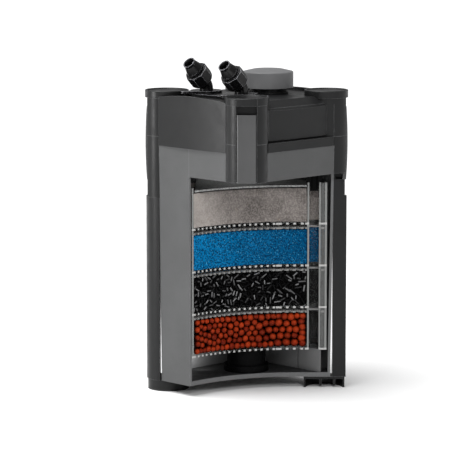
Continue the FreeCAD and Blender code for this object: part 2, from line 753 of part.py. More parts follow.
def head_hollow():
    """Inside of the head: a wide room below the shoulders and a narrower one below the deck."""
    half = s.head_half - s.head_wall
    body = new_body("head_room")
    wide = octagon(sketch_on(body, "room_plan", level=s.split_level - 1.0), s.head_half_side - s.head_wall, half,
                   s.room_corner)
    pad(body, wide, s.shoulder_level - s.head_wall - s.split_level)
    inset = s.shoulder_inset - s.head_wall
    high = octagon(sketch_on(body, "room_high", level=s.split_level), inset, half, s.room_corner)
    pad(body, high, s.deck_level - s.head_wall - s.split_level)
    return body


def head_slots():
    """Slots of the four levers in the head's columns, up to the caps."""
    slots = []
    for corner, angle in CORNERS:
        body = new_body(f"head_slot_{corner}")
        plan = rectangle(sketch_on(body, f"head_slot_plan_{corner}", level=s.split_level - 1.0),
                         s.slot_floor_high, s.slot_floor_high + 30.0, -s.lever_slot / 2, s.lever_slot / 2)
        pad(body, plan, s.column_top - s.split_level + 1.0)
        slots.append(turned(body, angle))
    return fuse("head_slot_group", *slots)


def head_catches():
    """Ledges that the noses of the levers pull down on."""
    ledges = []
    for corner, angle in CORNERS:
        body = new_body(f"catch_{corner}")
        high = s.nose_level - 0.4
        profile = outline(sketch_on(body, f"catch_profile_{corner}", "XZ_Plane"), [
            (s.slot_floor_high - 1.0, high - 9.0), (s.slot_floor_high, high - 9.0), (s.catch_reach, high - 4.0),
            (s.catch_reach, high), (s.slot_floor_high - 1.0, high)])
        pad(body, profile, s.lever_width - 8.0, symmetric=True)
        ledges.append(turned(body, angle))
    return group("catch_group", *ledges)


def column_tools(name, play):
    """Cylinders of the two columns that end a panel on its +X side."""
    rods = [cylinder(f"{name}_column_{side}", s.post_radius + play, s.vessel_top - 5.0, s.cap_top,
                     s.post_offset, sign * s.post_offset) for side, sign in (("near", -1.0), ("far", 1.0))]
    caps = [cylinder(f"{name}_cap_{side}", s.cap_radius + play, s.column_top - play, s.cap_top + 5.0,
                     s.cap_offset, sign * s.cap_offset) for side, sign in (("near", -1.0), ("far", 1.0))]
    return rods + caps


def bowed_plate(label, back, end, crown, low, high):
    """Plate on +X with a bowed face."""
    body = new_body(label + "_plate")
    sag = crown - end
    bow = (s.panel_reach * s.panel_reach + sag * sag) / (2 * sag)
    plan = outline(sketch_on(body, label + "_plan", level=low), [
        (back, -s.panel_reach), (end, -s.panel_reach, bow), (end, s.panel_reach), (back, s.panel_reach)])
    pad(body, plan, high - low)
    return body


def make_side_panel(label, angle):
    """Recessed panel whose top follows the slope of the roof, so that its bowed edge dips in the middle."""
    plate = bowed_plate(label, s.head_half_side, s.side_end, s.side_crown, s.split_level + s.side_gap, s.deck_level)
    trim = new_body(label + "_trim")
    pad(trim, outline(sketch_on(trim, label + "_slope", "XZ_Plane"), roof_slope(1.0)), 3 * s.head_half,
        symmetric=True)
    keep(turned(cut(label + "_cut", plate, trim, *column_tools(label, 0.05)), angle), label)


def make_front_panel(label, angle):
    """Tall panel with an arched top edge; it reaches down over the rim."""
    plate = bowed_plate(label, s.head_half, s.panel_end, s.panel_crown, s.vessel_top, s.panel_top_crown)
    trim = new_body(label + "_trim")
    rise = s.panel_top_crown - s.panel_top_end
    wide = s.panel_reach + 1.0
    arch = (wide * wide + rise * rise) / (2 * rise)
    over = s.panel_top_crown + 5.0
    profile = outline(sketch_on(trim, label + "_top", "YZ_Plane"), [
        (wide, s.panel_top_end, arch), (-wide, s.panel_top_end), (-wide, over), (wide, over)])
    pad(trim, profile, 3 * s.head_half)
    keep(turned(cut(label + "_cut", plate, trim, *column_tools(label, 0.05)), angle), label)


def make_panels():
    make_side_panel("side_panel_right", 0.0)
    make_side_panel("side_panel_left", 180.0)
    make_front_panel("front_panel", -90.0)
    make_front_panel("back_panel", 90.0)


def make_caps():
    """Dished caps; two grooves carry the edges of the lever slot on up their sides."""
    caps = []
    inner = s.cap_radius - s.cap_rim
    rim = s.cap_offset * s.diagonal_ratio + root(s.cap_radius * s.cap_radius - s.lever_slot * s.lever_slot / 4)
    for corner, angle in CORNERS:
        body = revolved(f"cap_{corner}", [
            (0.0, s.column_top), (s.cap_radius, s.column_top), (s.cap_radius, s.cap_top - 0.8),
            (s.cap_radius - 0.8, s.cap_top), (inner, s.cap_top), (inner - 1.0, s.cap_top - s.cap_dish),
            (0.0, s.cap_top - s.cap_dish)])
        along = math.cos(math.radians(angle)) > 0
        ahead = math.sin(math.radians(angle)) > 0
        place(body, s.cap_offset if along else -s.cap_offset, s.cap_offset if ahead else -s.cap_offset)
        grooves = new_body(f"cap_grooves_{corner}")
        plan = sketch_on(grooves, f"cap_groove_plan_{corner}", level=s.column_top - 1.0)
        for edge in (s.lever_slot / 2, -s.lever_slot / 2):
            rectangle(plan, rim - 1.0, rim + 5.0, edge - 0.35, edge + 0.35)
        pad(grooves, plan, s.cap_top - s.column_top + 2.0)
        caps.append(cut(f"cap_cut_{corner}", body, turned(grooves, angle)))
    keep(group("cap_group", *caps), "column_caps")


# Latches

def make_lever(corner, angle, section):
    """Bowed lever: its section is swept about a distant axis, and a boss, a nose and a pin hole follow."""
    middle = s.lever_face - s.lever_bow
    sweep = new_body(f"lever_sweep_{corner}")
    half = s.lever_width / 2
    face, back = s.lever_bow, s.lever_bow - s.lever_thick
    plan = outline(sketch_on(sweep, f"lever_section_{corner}"), [
        (back, -half), (face - 1.0, -half), (face, 1.5 - half, -s.lever_dish), (face, half - 1.5),
        (face - 1.0, half), (back, half)])
    turn(sweep, plan, angle=s.lever_span, symmetric=True)
    place(sweep, middle, 0.0, (s.lever_low + s.lever_top) / 2)
    boss = new_body(f"lever_boss_{corner}")
    rear = s.lever_face - s.lever_thick
    profile = outline(sketch_on(boss, f"boss_profile_{corner}", "XZ_Plane"), [
        (rear - 1.0, s.pivot_level - 9.0), (rear, s.pivot_level - 9.0), (rear, s.pivot_level + 9.0),
        (rear - 1.0, s.pivot_level + 9.0), (s.pivot_reach, s.pivot_level + s.boss_radius, s.boss_radius * 1.0005),
        (s.pivot_reach, s.pivot_level - s.boss_radius)])
    pad(boss, profile, s.lever_width, symmetric=True)
    nose = new_body(f"lever_nose_{corner}")
    hook = outline(sketch_on(nose, f"nose_profile_{corner}", "XZ_Plane"), [
        (s.nose_reach, s.nose_level), (rear + 1.0, s.nose_level), (rear + 1.0, s.nose_level + 9.0),
        (s.nose_reach, s.nose_level + 3.0)])
    pad(nose, hook, s.lever_width - 6.0, symmetric=True)
    hole = new_body(f"lever_hole_{corner}")
    ring = circle(sketch_on(hole, f"hole_plan_{corner}", "XZ_Plane"), s.pin_radius + s.pin_play,
                  s.pivot_reach, s.pivot_level)
    pad(hole, ring, 2 * s.lever_width, symmetric=True)
    whole = cut(f"lever_drilled_{corner}", fuse(f"lever_whole_{corner}", sweep, boss, nose), hole)
    turned(whole, angle)
    if corner == "front_right":
        whole = cut(f"lever_cut_{corner}", whole, section)
    keep(whole, f"latch_{corner}")


def make_pins():
    pins = []
    for corner, angle in CORNERS:
        body = new_body(f"pin_{corner}")
        plan = circle(sketch_on(body, f"pin_plan_{corner}", "XZ_Plane"), s.pin_radius, s.pivot_reach,
                      s.pivot_level)
        pad(body, plan, 2 * s.pin_half, symmetric=True)
        pins.append(turned(body, angle))
    keep(group("pin_group", *pins), "latch_pins")


# Priming pump

def make_primer():
    flange = s.deck_level + 3.0
    collar = revolved("collar_body", [
        (s.collar_bore, s.collar_low), (s.collar_radius, s.collar_low), (s.collar_radius, s.deck_level),
        (s.collar_radius + 3.0, s.deck_level), (s.collar_radius + 3.0, flange - 1.0),
        (s.collar_radius + 2.0, flange), (s.collar_radius, flange), (s.collar_radius, s.collar_top),
        (s.stem_radius + 0.3, s.collar_top), (s.stem_radius + 0.3, s.collar_top - 2.5),
        (s.collar_bore, s.collar_top - 2.5)])
    keep(place(collar, 0.0, s.primer_y), "primer_collar")
    inner = s.knob_radius - s.knob_wall
    roof = s.knob_edge - s.knob_wall
    crown = s.knob_crown - s.knob_edge
    wide = s.knob_radius - 1.2
    knob = revolved("knob_body", [
        (0.0, roof), (inner, roof), (inner, s.knob_low), (s.knob_radius, s.knob_low),
        (s.knob_radius, s.knob_edge - 1.2), (wide, s.knob_edge), (0.6 * wide, s.knob_edge + 0.7 * crown),
        (0.0, s.knob_crown)])
    keep(place(knob, 0.0, s.primer_y), "primer_knob")
    piston = s.collar_bore - 0.35
    plunger = revolved("plunger_body", [
        (0.0, 409.0), (piston, 409.0), (piston, 416.0), (s.stem_radius, 416.0), (s.stem_radius, roof), (0.0, roof)])
    keep(place(plunger, 0.0, s.primer_y), "primer_plunger")
    make_spring(roof)


def make_spring(roof):
    """Return spring between the collar and the knob's roof, a helix with a square wire."""
    low, high = s.collar_top + 0.1, roof - 0.1
    reach = high - low - s.spring_wire
    coil = doc.addObject("Part::Helix", "spring_coil")
    bind(coil, "Radius", s.spring_radius)
    bind(coil, "Height", reach)
    bind(coil, "Pitch", reach / s.spring_turns)
    wire = doc.addObject("Part::Plane", "spring_wire_section")
    bind(wire, "Length", s.spring_wire)
    bind(wire, "Width", s.spring_wire)
    place(wire, s.spring_radius - s.spring_wire / 2, 0.0, -s.spring_wire / 2, axis=(1, 0, 0), angle=90.0)
    sweep = doc.addObject("Part::Sweep", "spring_sweep")
    sweep.Sections = [wire]
    sweep.Spine = (coil, [])
    sweep.Solid = True
    sweep.Frenet = True
    keep(place(sweep, 0.0, s.primer_y, low + s.spring_wire / 2), "primer_spring")


# Hose connectors

def make_block():
    body = new_body("block_body")
    x, y, step = s.block_half_x, s.block_half_y, s.block_step
    flange = rectangle(sketch_on(body, "block_flange", level=s.deck_level), -x, x, s.tap_y - y, s.tap_y + y)
    pad(body, flange, s.tap_low - s.deck_level)
    core = rectangle(sketch_on(body, "block_core", level=s.block_low),
                     step - x, x - step, s.tap_y - y + step, s.tap_y + y - step)
    pad(body, core, s.deck_level - s.block_low)
    bores = sketch_on(body, "block_bores", level=s.tap_low)
    ways = sketch_on(body, "block_ways", level=s.tap_low)
    for side in (1.0, -1.0):
        circle(bores, s.tap_barrel + 0.3, side * s.tap_x, s.tap_y)
        circle(ways, s.elbow_bore, side * s.tap_x, s.tap_y)
    pocket(body, bores, s.tap_low - s.block_low - 3.0)
    pocket(body, ways, s.tap_low - s.block_low)
    posts = [cylinder(f"block_post_{side}", s.cap_radius + 0.4, s.block_low - 1.0, s.cap_top,
                      sign * s.cap_offset, -s.cap_offset) for side, sign in (("left", -1.0), ("right", 1.0))]
    keep(cut("block_cut", body, *posts), "connector_block")


def make_tap(label, side):
    """Tap: a barrel in the block, a disc on top and a finger lever that points to the front."""
    body = new_body(label + "_body")
    hole = s.elbow_radius + 0.3
    barrel = circle(circle(sketch_on(body, label + "_barrel", level=s.block_low + 3.3), s.tap_barrel), hole)
    pad(body, barrel, s.tap_low - s.block_low - 3.3)
    disc = circle(circle(sketch_on(body, label + "_disc", level=s.tap_low + 0.3), s.tap_disc), hole)
    pad(body, disc, s.tap_depth)
    link = circle(circle(sketch_on(body, label + "_link", level=s.tap_low - 0.1), s.tap_barrel), hole)
    pad(body, link, 0.6)
    tip_x, tip_y = side * 5.0, -39.5
    finger = outline(sketch_on(body, label + "_finger", level=s.tap_low + 0.3), [
        (tip_x * 0.5 - 9.5, tip_y * 0.5), (tip_x - 4.5, tip_y, 4.6), (tip_x + 4.5, tip_y),
        (tip_x * 0.5 + 9.5, tip_y * 0.5)])
    pad(body, finger, s.tap_depth)
    keep(place(body, side * s.tap_x, s.tap_y), label)


def make_elbow(label, side):
    """Elbow: straight up out of the block, a bend towards the front and a threaded end."""
    body = new_body(label + "_tube")
    base = s.block_low + 3.0
    up = s.elbow_knee - base
    sin, cos = sine(s.lean_angle), cosine(s.lean_angle)
    run = s.elbow_bend * sin / (1 + cos)
    ring = circle(circle(sketch_on(body, label + "_ring"), s.elbow_radius), s.elbow_bore)
    path = sketch_on(body, label + "_path", "YZ_Plane")
    points = [(as_size(0.0), as_size(0.0)), (as_size(0.0), up - run), (-run * sin, up + run * cos),
              (-s.tail_root * sin, up + s.tail_root * cos)]
    spots = [Vector(x.value, y.value, 0) for x, y in points]
    path.addGeometry(Part.LineSegment(spots[0], spots[1]), False)
    path.addGeometry(arc_between(spots[1], spots[2], s.elbow_bend.value), False)
    path.addGeometry(Part.LineSegment(spots[2], spots[3]), False)
    for index, end, spot in ((0, 1, 0), (0, 2, 1), (2, 1, 2), (2, 2, 3)):
        pin_point(path, index, end, *points[spot])
    path.addConstraint(Sketcher.Constraint("Coincident", 0, 2, 1, 1))
    path.addConstraint(Sketcher.Constraint("Coincident", 1, 2, 2, 1))
    row = path.addConstraint(Sketcher.Constraint("Radius", 1, s.elbow_bend.value))
    bind(path, f"Constraints[{row}]", s.elbow_bend)
    pipe = body.newObject("PartDesign::AdditivePipe", label + "_pipe")
    pipe.Profile = ring
    pipe.Spine = path
    place(body, side * s.tap_x, s.tap_y, base)
    thread = revolved(label + "_thread", [
        (s.elbow_radius - 0.5, s.nut_low + 2.5), (s.thread_radius, s.nut_low + 2.5),
        (s.thread_radius, s.tail_root - 1.3), (s.thread_radius - 1.0, s.tail_root - 0.3),
        (s.elbow_radius - 0.5, s.tail_root - 0.3)])
    lean(thread, side)
    keep(fuse(label + "_fuse", body, thread), label)


def lean(piece, side):
    """Move a piece from its own axis to a connector's axis; its levels count from the knee."""
    return place(piece, side * s.tap_x, s.tap_y, s.elbow_knee, axis=(1, 0, 0), angle=s.lean_angle)


def make_tail(label, side):
    body = revolved(label + "_body", [
        (s.elbow_bore, s.tail_root), (s.elbow_radius, s.tail_root), (s.elbow_radius, s.tail_flare - 1.0),
        (s.tail_wide, s.tail_flare), (s.tail_wide, s.tail_flare + 1.0), (s.mouth_radius, s.tail_land),
        (s.mouth_radius, s.tail_mouth), (s.mouth_bore, s.tail_mouth), (s.elbow_bore, s.tail_land)])
    keep(lean(body, side), label)


def make_nut(label, side):
    """Octagonal nut with a taper at its foot and a lip at its top."""
    top = s.nut_low + s.nut_long
    prism = new_body(label + "_prism")
    octagon(sketch_on(prism, label + "_plan", level=s.nut_low), s.nut_flat, s.nut_flat, s.nut_flat)
    pad(prism, prism.Group[0], s.nut_long)
    lip = s.tail_wide + 0.3
    bore = s.thread_radius + 0.3
    form = revolved(label + "_form", [
        (bore, s.nut_low), (bore + 0.6, s.nut_low), (s.nut_flat + 1.3, s.nut_low + s.nut_taper),
        (s.nut_flat + 1.3, top - 0.8), (s.nut_flat - 0.2, top), (lip, top), (lip, top - 1.8), (bore, top - 1.8)])
    keep(lean(common(label + "_common", prism, form), side), label)


def make_clamp(label, side):
    low = s.tail_root
    body = revolved(label + "_body", [
        (s.tail_wide + 0.3, low), (s.thread_radius, low), (s.thread_radius, low + 1.9),
        (s.tail_wide + 0.3, low + 1.9)])
    keep(lean(body, side), label)


def make_seals():
    seals = []
    for side in (1.0, -1.0):
        low = s.nut_low + s.nut_long + 0.4
        body = revolved(f"seal_{'inlet' if side > 0 else 'outlet'}", [
            (s.elbow_radius, low), (s.elbow_radius + 1.4, low), (s.elbow_radius + 1.4, low + 1.6),
            (s.elbow_radius, low + 1.6)])
        seals.append(lean(body, side))
    keep(group("seal_group", *seals), "hose_seals")


def make_connectors():
    make_block()
    for name, side in (("inlet", 1.0), ("outlet", -1.0)):
        make_tap(f"tap_{name}", side)
        make_elbow(f"elbow_{name}", side)
        make_tail(f"hose_tail_{name}", side)
        make_nut(f"hose_nut_{name}", side)
        make_clamp(f"clamp_ring_{name}", side)
    make_seals()


# Pump

def make_plate():
    body = new_body("plate_body")
    core = octagon(sketch_on(body, "plate_core", level=s.plate_low), s.plate_half, s.plate_half, s.plate_corner)
    pad(body, core, s.split_level - s.plate_low)
    flange = octagon(sketch_on(body, "plate_rim", level=s.split_level), s.head_half_side - s.head_wall,
                     s.head_half - s.head_wall, s.room_corner)
    pad(body, flange, s.plate_flange)
    chamber = circle(sketch_on(body, "plate_chamber", level=s.plate_low), s.volute_radius, s.pump_x, s.pump_y)
    pocket(body, chamber, s.volute_top - s.plate_low, upwards=True)
    well = circle(sketch_on(body, "plate_well", level=s.split_level + s.plate_flange), s.well_radius,
                  s.pump_x, s.pump_y)
    pocket(body, well, s.split_level + s.plate_flange - s.plate_low)
    way = (s.duct_inner + s.duct_outer) / (2 * s.diagonal_ratio)
    inlet = circle(sketch_on(body, "plate_inlet", level=s.split_level + s.plate_flange), s.pipe_bore, way, way)
    pocket(body, inlet, s.split_level + s.plate_flange - s.plate_low)
    keep(body, "pump_plate")


def make_pump():
    """Pump beside the priming piston: motor with a blind well, rotor on a fixed shaft, volute below."""
    seat = s.split_level + s.plate_flange
    well_top = s.motor_top - 6.0
    motor = revolved("motor_body", [
        (s.well_radius, seat), (s.motor_radius, seat), (s.motor_radius, s.motor_top - 3.0),
        (s.motor_radius - 3.0, s.motor_top), (0.0, s.motor_top), (0.0, well_top), (s.well_radius, well_top)])
    keep(place(motor, s.pump_x, s.pump_y), "motor_pod")
    shaft_low, shaft_high = s.plate_low - 5.0, well_top - 1.0
    shaft = cylinder("shaft_rod", s.shaft_radius, shaft_low, shaft_high, s.pump_x, s.pump_y)
    keep(shaft, "rotor_shaft")
    hole = s.shaft_radius + 0.05
    upper = revolved("bush_upper", [
        (s.shaft_radius, well_top - 4.0), (5.0, well_top - 4.0), (5.0, well_top), (0.0, well_top),
        (0.0, well_top - 1.0), (s.shaft_radius, well_top - 1.0)])
    lower = revolved("bush_lower", [
        (s.shaft_radius, s.plate_low - 5.0), (5.0, s.plate_low - 5.0), (5.0, s.plate_low),
        (s.shaft_radius, s.plate_low)])
    for bush in (upper, lower):
        place(bush, s.pump_x, s.pump_y)
    keep(group("bush_group", upper, lower), "shaft_bushes")
    magnet = revolved("magnet_body", [
        (hole, 371.0), (s.magnet_radius - 0.8, 371.0), (s.magnet_radius, 371.8), (s.magnet_radius, 389.2),
        (s.magnet_radius - 0.8, 390.0), (hole, 390.0)])
    keep(place(magnet, s.pump_x, s.pump_y), "rotor_magnet")
    make_impeller(hole)
    make_volute_cover()


def make_impeller(hole):
    """Impeller: hub, disc and six blades curved back from the inlet to the rim."""
    body = new_body("impeller_body")
    disc_low = s.volute_top - 3.2
    hub = outline(sketch_on(body, "impeller_profile", "XZ_Plane"), [
        (hole, s.plate_low + 1.0), (4.5, s.plate_low + 1.0), (4.5, disc_low), (s.impeller_radius, disc_low),
        (s.impeller_radius, disc_low + 2.0), (7.5, disc_low + 2.0), (7.5, 371.0), (hole, 371.0)])
    turn(body, hub)
    blade = outline(sketch_on(body, "blade_plan", level=s.plate_low + 1.5), [
        (4.0, -0.6), (10.5, -2.4, 26.0), (16.2, 2.6), (15.4, 3.4, -22.0), (10.0, -0.9), (4.0, 0.6)])
    around(body, [pad(body, blade, disc_low - s.plate_low - 1.2)], 6)
    keep(place(body, s.pump_x, s.pump_y), "impeller")


def make_volute_cover():
    """Round cover below the chamber, with a ring of inlet holes round the lower bush."""
    body = new_body("cover_body")
    disc = circle(sketch_on(body, "cover_disc", level=s.plate_low - 5.0), s.volute_radius + 6.0)
    pad(body, disc, 5.0)
    pocket(body, circle(sketch_on(body, "cover_bush", level=s.plate_low), 5.0), 5.0)
    port = circle(sketch_on(body, "cover_port", level=s.plate_low), 2.6, 9.5)
    around(body, [pocket(body, port, 5.0)], 8)
    keep(place(body, s.pump_x, s.pump_y), "volute_cover")


def make_screws():
    """Screws that hold the pump plate up to the head."""
    screws = []
    for index, (x, y) in enumerate(((80.0, -30.0), (30.0, 84.0), (-84.0, 40.0), (-30.0, -84.0))):
        body = revolved(f"screw_{index + 1}", [
            (0.0, s.plate_low - 2.6), (2.6, s.plate_low - 2.6), (4.0, s.plate_low - 1.2), (4.0, s.plate_low),
            (0.0, s.plate_low)])
        screws.append(place(body, x, y))
    keep(group("screw_group", *screws), "plate_screws")


def make_downpipe(section):
    way = (s.duct_inner + s.duct_outer) / (2 * s.diagonal_ratio)
    body = revolved("pipe_body", [
        (s.pipe_bore, s.pipe_low), (s.pipe_radius, s.pipe_low), (s.pipe_radius, s.pipe_step),
        (s.pipe_collar, s.pipe_step), (s.pipe_collar, s.plate_low), (s.pipe_bore, s.plate_low)])
    place(body, way, way)
    keep(cut("pipe_cut", body, section), "down_pipe")


def make_gland():
    body = revolved("gland_body", [
        (s.gland_bore, s.deck_level - 5.0), (5.0, s.deck_level - 5.0), (5.0, s.deck_level),
        (8.0, s.deck_level), (8.0, s.deck_level + 3.0), (6.0, s.deck_level + 3.5),
        (4.8, s.deck_level + 10.0), (s.gland_bore, s.deck_level + 10.0)])
    keep(place(body, s.gland_x, s.gland_y), "cable_gland")


def build():
    section = make_section()
    vessel = make_vessel(section)
    make_rim()
    make_gasket()
    for corner, angle in CORNERS:
        make_column(corner, angle, section, vessel)
        if corner != "front_right":
            make_foot(corner, angle, section)
        make_lever(corner, angle, section)
    make_foot_pads(section)
    make_supports()
    make_pedestal()
    make_contents(section)
    make_head_shell()
    make_panels()
    make_caps()
    make_pins()
    make_primer()
    make_connectors()
    make_plate()
    make_pump()
    make_screws()
    make_downpipe(section)
    make_gland()


def check():
    """Stop if any object failed, or any sub-part has no sound shape."""
    faults = [f"{item.Name}: {item.State}" for item in doc.Objects
              if "Invalid" in item.State or "Error" in item.State]
    for item in subparts:
        if item.Shape.isNull() or not item.Shape.isValid() or not item.Shape.Solids:
            faults.append(f"{item.Label}: no sound shape")
    if faults:
        raise RuntimeError("; ".join(faults))


def export():
    os.makedirs("parts", exist_ok=True)
    for item in subparts:
        item.Shape.exportStep(os.path.join("parts", f"{item.Label}.step"))
        print(f"{item.Label}: {len(item.Shape.Solids)} solids, {item.Shape.Volume:.0f} mm3")


build()
doc.recompute()
check()
export()
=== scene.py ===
"""Dressed model of a canister filter, shown with one corner cut away.

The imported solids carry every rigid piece. This file gives each of them its finish, and replaces
the four filter media by their real forms: a wool pad, a foam pad, carbon rods and clay balls.
Lengths are in metres, +Z is up and the bare front panel faces -Y.
"""
from __future__ import annotations

import json
import logging
import math
from dataclasses import dataclass, field, replace
from enum import Enum

import bpy
import numpy as np
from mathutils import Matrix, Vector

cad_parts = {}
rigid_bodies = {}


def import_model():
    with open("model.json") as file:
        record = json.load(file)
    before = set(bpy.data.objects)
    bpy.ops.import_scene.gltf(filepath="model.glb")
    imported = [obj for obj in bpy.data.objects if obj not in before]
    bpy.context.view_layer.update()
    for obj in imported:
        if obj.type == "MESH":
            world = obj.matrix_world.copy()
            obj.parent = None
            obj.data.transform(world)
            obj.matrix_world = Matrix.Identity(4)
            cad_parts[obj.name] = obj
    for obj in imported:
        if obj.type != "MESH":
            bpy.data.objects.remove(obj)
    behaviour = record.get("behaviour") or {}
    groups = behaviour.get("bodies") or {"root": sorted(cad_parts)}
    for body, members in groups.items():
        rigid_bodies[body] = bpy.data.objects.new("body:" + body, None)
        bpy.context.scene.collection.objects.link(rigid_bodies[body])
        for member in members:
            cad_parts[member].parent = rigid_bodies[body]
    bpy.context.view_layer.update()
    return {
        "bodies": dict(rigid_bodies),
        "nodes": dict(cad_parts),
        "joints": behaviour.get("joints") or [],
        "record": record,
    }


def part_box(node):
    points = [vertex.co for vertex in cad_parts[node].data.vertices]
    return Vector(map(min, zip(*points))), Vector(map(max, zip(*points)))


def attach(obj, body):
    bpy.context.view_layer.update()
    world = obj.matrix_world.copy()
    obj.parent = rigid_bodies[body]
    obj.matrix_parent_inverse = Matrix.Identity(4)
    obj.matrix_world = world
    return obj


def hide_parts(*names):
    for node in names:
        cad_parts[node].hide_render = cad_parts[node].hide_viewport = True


LOG = logging.getLogger("canister_filter")
MM = 0.001
HALF_ROOT = math.sqrt(0.5)
AIR_SAMPLES = 8
EDGE_SAMPLES = 6
LATTICE_CELLS = 64
BASKET_PITCH = 60.2 * MM
BASKET_COUNT = 4
BASKET_HALF = 96.9 * MM
BASKET_CORNER = 110.7 * MM
NOISE_LOW, NOISE_HIGH = 0.3, 0.7
Colour = tuple[float, float, float]
Place = tuple[float, float, float]
Array = np.ndarray
Socket = bpy.types.NodeSocket
Piece = bpy.types.Object


# Material bench

class Bench:
    """The node tree of one material, with a short method for each kind of node that is used."""

    def __init__(self, name: str) -> None:
        """Starts an empty material.

        Args:
            name: Name of the material.
        """
        self.material = bpy.data.materials.new(name)
        self.material.use_nodes = True
        self.tree = self.material.node_tree
        self.tree.nodes.clear()
        self.shader = self.node("ShaderNodeBsdfPrincipled")
        self.node("ShaderNodeOutputMaterial", Surface=self.shader.outputs[0])
        self.place = self.node("ShaderNodeTexCoord").outputs["Object"]

    def node(self, kind: str, **inputs: object) -> bpy.types.Node:
        """Adds a node of a kind and feeds its inputs."""
        node = self.tree.nodes.new(kind)
        self.feed(node, **inputs)
        return node

    def feed(self, node: bpy.types.Node, **inputs: object) -> None:
        """Links or sets inputs of a node; underscores in a name stand for blanks."""
        for key, value in inputs.items():
            self.put(node.inputs[key.replace("_", " ")], value)

    def put(self, socket: Socket, value: object) -> None:
        """Links a socket to another socket, or sets it to a number or colour."""
        if isinstance(value, Socket):
            self.tree.links.new(value, socket)
        elif isinstance(value, tuple) and len(value) == 3 and socket.type == "RGBA":
            socket.default_value = (*value, 1.0)
        else:
            socket.default_value = value

    def noise(self, scale: float, detail: float = 2.0, rough: float = 0.5,
              stretch: Place | None = None) -> Socket:
        """Noise from 0 to 1 on object coordinates.

        Args:
            scale: Cells per metre.
            detail: Octaves.
            rough: Weight of the finer octaves.
            stretch: Factors on the coordinates, for grain that runs one way.

        Returns:
            The noise value.
        """
        where = self.place
        if stretch is not None:
            where = self.node("ShaderNodeMapping", Vector=self.place, Scale=stretch).outputs[0]
        node = self.node("ShaderNodeTexNoise", Vector=where, Scale=scale, Detail=detail, Roughness=rough)
        return node.outputs["Fac"]

    def cells(self, scale: float) -> Socket:
        """Distance to the nearest of scattered points, for pores and cells."""
        return self.node("ShaderNodeTexVoronoi", Vector=self.place, Scale=scale).outputs["Distance"]

    def ramp(self, value: Socket, low: float, high: float,
             start: float = 0.0, end: float = 1.0) -> Socket:
        """Maps low..high of a value smoothly to start..end, clamped at both ends."""
        node = self.node("ShaderNodeMapRange")
        node.interpolation_type = "SMOOTHSTEP"
        for index, item in enumerate((value, low, high, start, end)):
            self.put(node.inputs[index], item)
        return node.outputs[0]

    def spread(self, scale: float, detail: float, start: float = 0.0, end: float = 1.0,
               rough: float = 0.5) -> Socket:
        """Noise whose usual values run from start to end."""
        return self.ramp(self.noise(scale, detail, rough), NOISE_LOW, NOISE_HIGH, start, end)

    def calc(self, operation: str, *terms: object) -> Socket:
        """One step of arithmetic on numbers."""
        node = self.node("ShaderNodeMath")
        node.operation = operation
        for index, item in enumerate(terms):
            self.put(node.inputs[index], item)
        return node.outputs[0]

    def times(self, first: object, second: object) -> Socket:
        """Product of two numbers."""
        return self.calc("MULTIPLY", first, second)

    def mix(self, share: object, first: object, second: object) -> Socket:
        """Blends two colours by a share."""
        node = self.node("ShaderNodeMix")
        node.data_type = "RGBA"
        for index, item in ((0, share), (6, first), (7, second)):
            self.put(node.inputs[index], item)
        return node.outputs[2]

    def axes(self) -> tuple[Socket, Socket, Socket]:
        """The three object coordinates as numbers."""
        node = self.node("ShaderNodeSeparateXYZ", Vector=self.place)
        return node.outputs[0], node.outputs[1], node.outputs[2]

    def along(self) -> Socket:
        """The way along the section's diagonal, from the middle towards the duct."""
        x, y, _ = self.axes()
        return self.times(self.calc("ADD", x, y), HALF_ROOT)

    def tone(self) -> Socket:
        """The number from 0 to 1 that each loose piece of a bed carries."""
        node = self.node("ShaderNodeAttribute")
        node.attribute_name = "tone"
        return node.outputs["Fac"]

    def upward(self) -> Socket:
        """How far a face looks up: 1 on level faces, 0 on walls."""
        normal = self.node("ShaderNodeNewGeometry").outputs["Normal"]
        return self.node("ShaderNodeSeparateXYZ", Vector=normal).outputs[2]

    def shelter(self, reach: float) -> Socket:
        """How open the air is within a distance: 1 in the open, towards 0 deep in a gap."""
        node = self.node("ShaderNodeAmbientOcclusion", Distance=reach)
        node.samples = AIR_SAMPLES
        return node.outputs["AO"]

    def edge(self, radius: float, sharp: float = 0.80) -> tuple[Socket, Socket]:
        """Rounded normal and a mask that is 1 on edges.

        Args:
            radius: Radius that the edges seem to have.
            sharp: Cosine between the true and the rounded normal at which the mask is full.

        Returns:
            The normal and the mask.
        """
        bevel = self.node("ShaderNodeBevel", Radius=radius)
        bevel.samples = EDGE_SAMPLES
        dot = self.node("ShaderNodeVectorMath")
        dot.operation = "DOT_PRODUCT"
        self.put(dot.inputs[0], bevel.outputs[0])
        self.put(dot.inputs[1], self.node("ShaderNodeNewGeometry").outputs["Normal"])
        return bevel.outputs[0], self.ramp(dot.outputs["Value"], 0.99, sharp)

    def bump(self, height: Socket, depth: float, strength: float = 1.0,
             normal: Socket | None = None) -> Socket:
        """Relief of a given depth in metres, on top of another normal if one is given."""
        node = self.node("ShaderNodeBump", Height=height, Distance=depth, Strength=strength)
        if normal is not None:
            self.feed(node, Normal=normal)
        return node.outputs[0]

    def sunk(self) -> Socket:
        """Depth behind the section: the distance from its axis, less its radius."""
        x, y, _ = self.axes()
        away = self.times(self.calc("SUBTRACT", y, x), HALF_ROOT)
        side = self.calc("MINIMUM", self.calc("SUBTRACT", self.along(), Section.turn), 0.0)
        depth = self.calc("SUBTRACT", away, Section.flat - Section.radius)
        reach = self.calc("SQRT", self.calc("ADD", self.times(side, side), self.times(depth, depth)))
        return self.calc("SUBTRACT", reach, Section.radius)

    def sawn(self) -> Socket:
        """Mask that is 1 on the cut faces."""
        return self.calc("LESS_THAN", self.calc("ABSOLUTE", self.sunk()), Section.skin)


# Finishes

